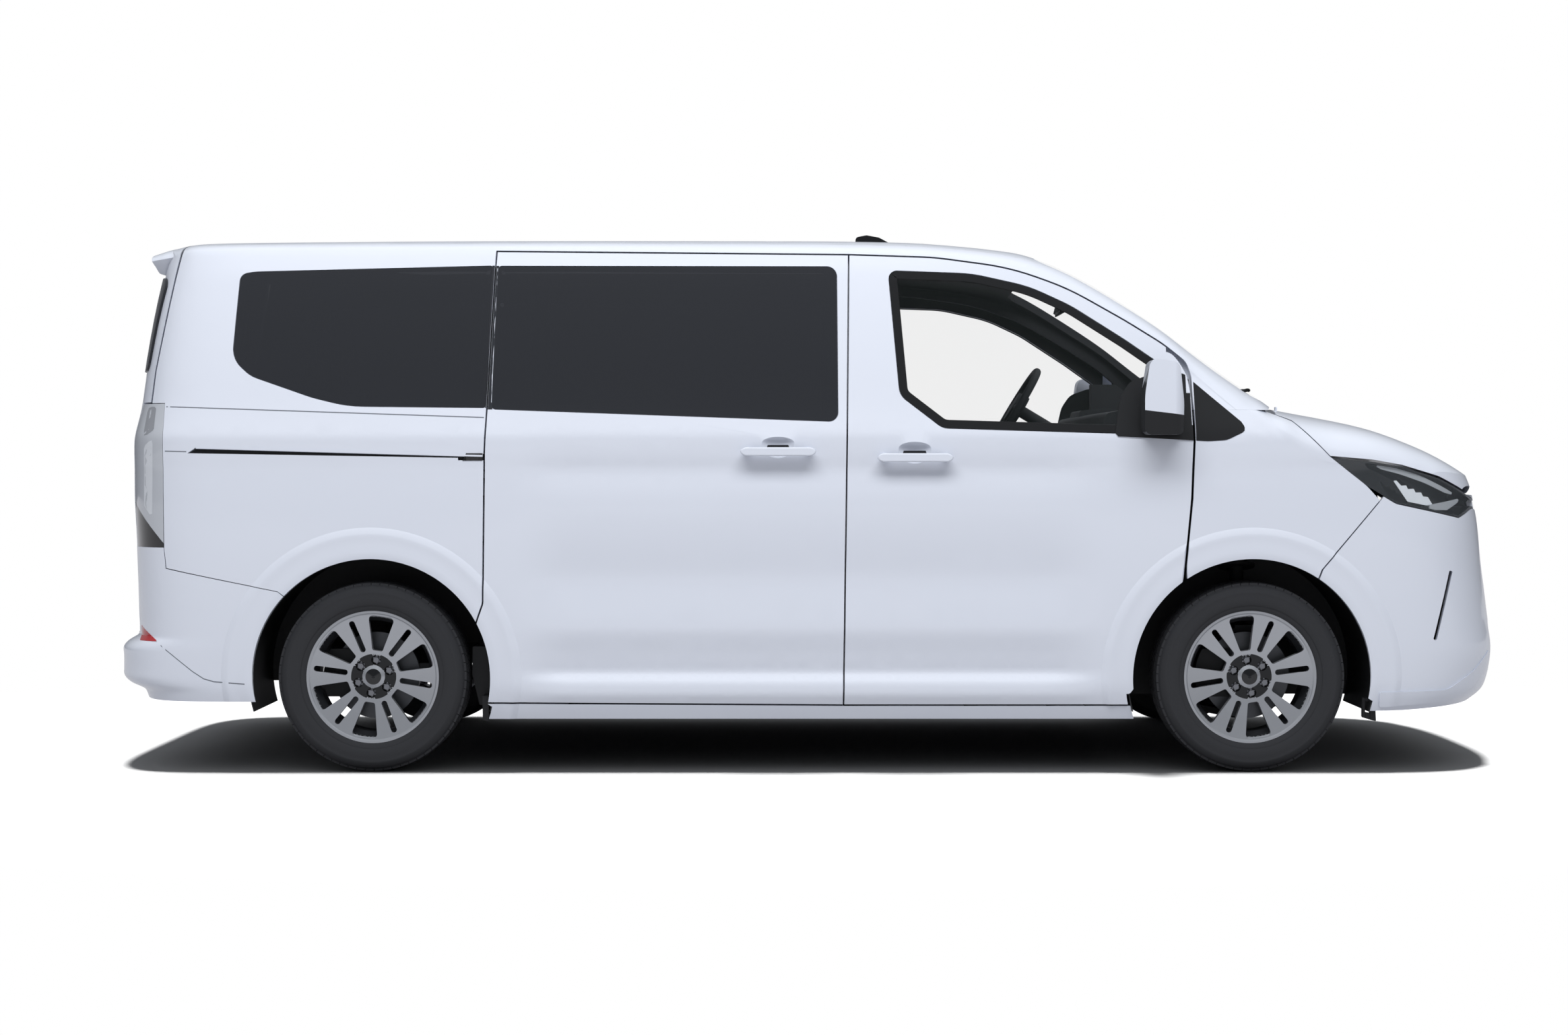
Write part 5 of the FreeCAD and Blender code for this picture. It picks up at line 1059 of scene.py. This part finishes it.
def cabin_mirror():
    """Interior mirror on its foot at the head of the windscreen."""
    shape = bmesh.new()
    side_block(shape, [(0.950, 1.668), (0.972, 1.662), (0.986, 1.716), (0.964, 1.722)], -0.115, 0.115)
    outward(shape)
    bmesh.ops.bevel(shape, geom=shape.edges[:], offset=0.009, segments=3, affect="EDGES")
    ride(publish("cabin_mirror", shape, BLACK_PP, angle=40), "body")
    foot = [Vector((0.975, 0, 1.700)), Vector((0.985, 0, 1.735)), Vector((0.975, 0, 1.790))]
    ride(bar("cabin_mirror_foot", foot, 0.024, 0.014, BLACK_PP), "body")


REAR_FLAP = [(-1.171, 0.184), (-1.149, 0.179), (-1.149, 0.270), (-1.173, 0.270)]
REAR_LINER_FOOT = [(-1.190, 0.232), (-1.150, 0.225), (-1.150, 0.440), (-1.214, 0.440), (-1.216, 0.340)]
# The front flap is four bars round a small window.
FRONT_FLAP = [[(1.938, 0.192), (1.949, 0.189), (1.949, 0.262), (1.938, 0.262)],
              [(1.965, 0.184), (1.988, 0.178), (1.984, 0.262), (1.965, 0.262)],
              [(1.9485, 0.189), (1.9655, 0.184), (1.9655, 0.208), (1.9485, 0.211)],
              [(1.9485, 0.248), (1.9655, 0.248), (1.9655, 0.262), (1.9485, 0.262)]]


def deflector(name, outline, y0, y1, side):
    """Small rubber air deflector that hangs from the arch liner ahead of a wheel."""
    way = SIDES[side]
    shape = bmesh.new()
    side_block(shape, outline, min(y0 * way, y1 * way), max(y0 * way, y1 * way))
    outward(shape)
    bmesh.ops.bevel(shape, geom=shape.edges[:], offset=0.002, segments=2, affect="EDGES")
    ride(publish(name + side, shape, SEAL), "body")


for side in SIDES:
    mirror_piece(side)
    ride(rail_lip(side), "body")
    ride(seam_seal(side), "body")
    deflector("rear_wheel_deflector_", REAR_FLAP, 0.80, 0.965, side)
    deflector("rear_liner_foot_", REAR_LINER_FOOT, 0.80, 0.90, side)
    for number, outline in enumerate(FRONT_FLAP):
        deflector("front_wheel_deflector_%d_" % number, outline, 0.932, 0.95, side)
wipers()
rear_wiper()
cabin_mirror()
plate("front_blank_plate", Skin("front_bumper"), 1, 0.555, 0.667, 0.260, PLATE, "body")
plate("rear_blank_plate", Skin("tailgate"), -1, 0.640, 0.752, 0.260, PLATE, "tailgate")


# Studio

WORLD_STRENGTH = 0.58
FLOOR_SHADE = {"seen": "#9C9C9C", "bounce": "#666668"}
FLOOR_REACH = 30.0
# Half axes of the oval round the vehicle inside which the floor shows its shade.
OVAL = (3.6, 2.6)
BANK_PLACE = (5.7, 7.6)
BANK_SIZE = (9, 3)
CAMERA_PLACE = (-0.107, -10.0, 1.1)
CAMERA_TILT = math.radians(1.27)
LENS_MM = 58.85


def studio():
    shape = bmesh.new()
    shape.faces.new([shape.verts.new((x * FLOOR_REACH, y * FLOOR_REACH, 0))
                     for x, y in ((-1, -1), (1, -1), (1, 1), (-1, 1))])
    floor = publish("studio_floor", shape, floor_finish())
    return floor


def floor_finish():
    """Matt pale floor: lit plainly round the vehicle, white to the camera beyond, dim in its bounce."""
    material = bpy.data.materials.new("studio_white_floor")
    material.use_nodes = True
    tree = material.node_tree
    tree.nodes.clear()
    path = add(tree, "ShaderNodeLightPath")
    place = add(tree, "ShaderNodeTexCoord")
    spread = add(tree, "ShaderNodeMapping", {"Scale": (1 / OVAL[0], 1 / OVAL[1], 1.0)},
                 Vector=place.outputs["Object"])
    reach = add(tree, "ShaderNodeVectorMath", {"operation": "LENGTH"}, Vector=spread.outputs[0])
    fade = add(tree, "ShaderNodeMapRange",
               {"From Min": 0.85, "From Max": 1.35, "interpolation_type": "SMOOTHSTEP"},
               Value=reach.outputs["Value"])
    seen = add(tree, "ShaderNodeMath", {"operation": "MULTIPLY"})
    tree.links.new(fade.outputs["Result"], seen.inputs[0])
    tree.links.new(path.outputs["Is Camera Ray"], seen.inputs[1])
    dim = add(tree, "ShaderNodeBsdfDiffuse", {"Color": linear(FLOOR_SHADE["bounce"])})
    matt = add(tree, "ShaderNodeBsdfDiffuse", {"Color": linear(FLOOR_SHADE["seen"])})
    plain = add(tree, "ShaderNodeMixShader", None, Fac=path.outputs["Is Camera Ray"])
    tree.links.new(dim.outputs[0], plain.inputs[1])
    tree.links.new(matt.outputs[0], plain.inputs[2])
    glow = add(tree, "ShaderNodeEmission", {"Color": linear("#FFFFFF"), "Strength": 1.0})
    both = add(tree, "ShaderNodeMixShader", None, Fac=seen.outputs[0])
    tree.links.new(plain.outputs[0], both.inputs[1])
    tree.links.new(glow.outputs[0], both.inputs[2])
    add(tree, "ShaderNodeOutputMaterial", None, Surface=both.outputs[0])
    return material


def room_light():
    """A pale room: white where it is seen, dimmer where it lights and mirrors."""
    world = bpy.data.worlds.new("studio_room")
    bpy.context.scene.world = world
    world.use_nodes = True
    tree = world.node_tree
    tree.nodes.clear()
    path = add(tree, "ShaderNodeLightPath")
    seen = add(tree, "ShaderNodeMath", {"operation": "MAXIMUM"})
    tree.links.new(path.outputs["Is Camera Ray"], seen.inputs[0])
    tree.links.new(path.outputs["Is Transmission Ray"], seen.inputs[1])
    place = add(tree, "ShaderNodeTexCoord")
    height = add(tree, "ShaderNodeSeparateXYZ", None, Vector=place.outputs["Generated"])
    ramp = add(tree, "ShaderNodeValToRGB", None, Fac=height.outputs["Z"])
    ramp.color_ramp.elements[0].position = 0.0
    ramp.color_ramp.elements[0].color = (0.24, 0.25, 0.28, 1)
    ramp.color_ramp.elements[1].position = 0.75
    ramp.color_ramp.elements[1].color = (0.93, 0.96, 1.0, 1)
    lit = add(tree, "ShaderNodeBackground", {"Strength": WORLD_STRENGTH}, Color=ramp.outputs["Color"])
    white = add(tree, "ShaderNodeBackground", {"Color": (1, 1, 1, 1), "Strength": 1.0})
    mix = add(tree, "ShaderNodeMixShader", None, Fac=seen.outputs[0])
    tree.links.new(lit.outputs[0], mix.inputs[1])
    tree.links.new(white.outputs[0], mix.inputs[2])
    add(tree, "ShaderNodeOutputWorld", None, Surface=mix.outputs[0])


def hang(lamp, place, aim, floor, on_floor):
    """Sets up a lamp that isn't mirrored, flagged to light the floor alone or everything but the floor."""
    holder = placed(lamp.name, lamp)
    holder.location = place
    holder.rotation_euler = (Vector(aim) - Vector(place)).to_track_quat("-Z", "Y").to_euler()
    reach = bpy.data.collections.new(lamp.name + "_reach")
    reach.objects.link(floor)
    reach.collection_objects[0].light_linking.link_state = "INCLUDE" if on_floor else "EXCLUDE"
    holder.light_linking.receiver_collection = reach
    holder.visible_glossy = False


def overhead_light(floor):
    """Even light from straight above, for the dark shadow under the vehicle."""
    lamp = bpy.data.lights.new("overhead_light", "SUN")
    lamp.energy = 13.0
    lamp.angle = math.radians(9)
    hang(lamp, (0, 0, 6), (0, 0, 0), floor, True)


def side_bank(name, way, power, floor):
    """A wide lamp bank high beside the vehicle."""
    lamp = bpy.data.lights.new(name, "AREA")
    lamp.shape = "RECTANGLE"
    lamp.size, lamp.size_y = BANK_SIZE
    lamp.energy = power
    hang(lamp, (0, BANK_PLACE[0] * way, BANK_PLACE[1]), (0, 0, 1.0), floor, False)


def camera():
    """The photograph's view: square to the right side from 10 m off its middle."""
    lens = bpy.data.cameras.new("studio_camera")
    lens.sensor_width = 36.0
    lens.lens = LENS_MM
    holder = placed("studio_camera", lens)
    holder.location = CAMERA_PLACE
    holder.rotation_euler = (math.pi / 2 - CAMERA_TILT, 0, 0)
    bpy.context.scene.camera = holder


ground = studio()
room_light()
overhead_light(ground)
side_bank("near_bank", -1, 670, ground)
side_bank("far_bank", 1, 300, ground)
camera()
bpy.context.scene.view_settings.view_transform = "Standard"
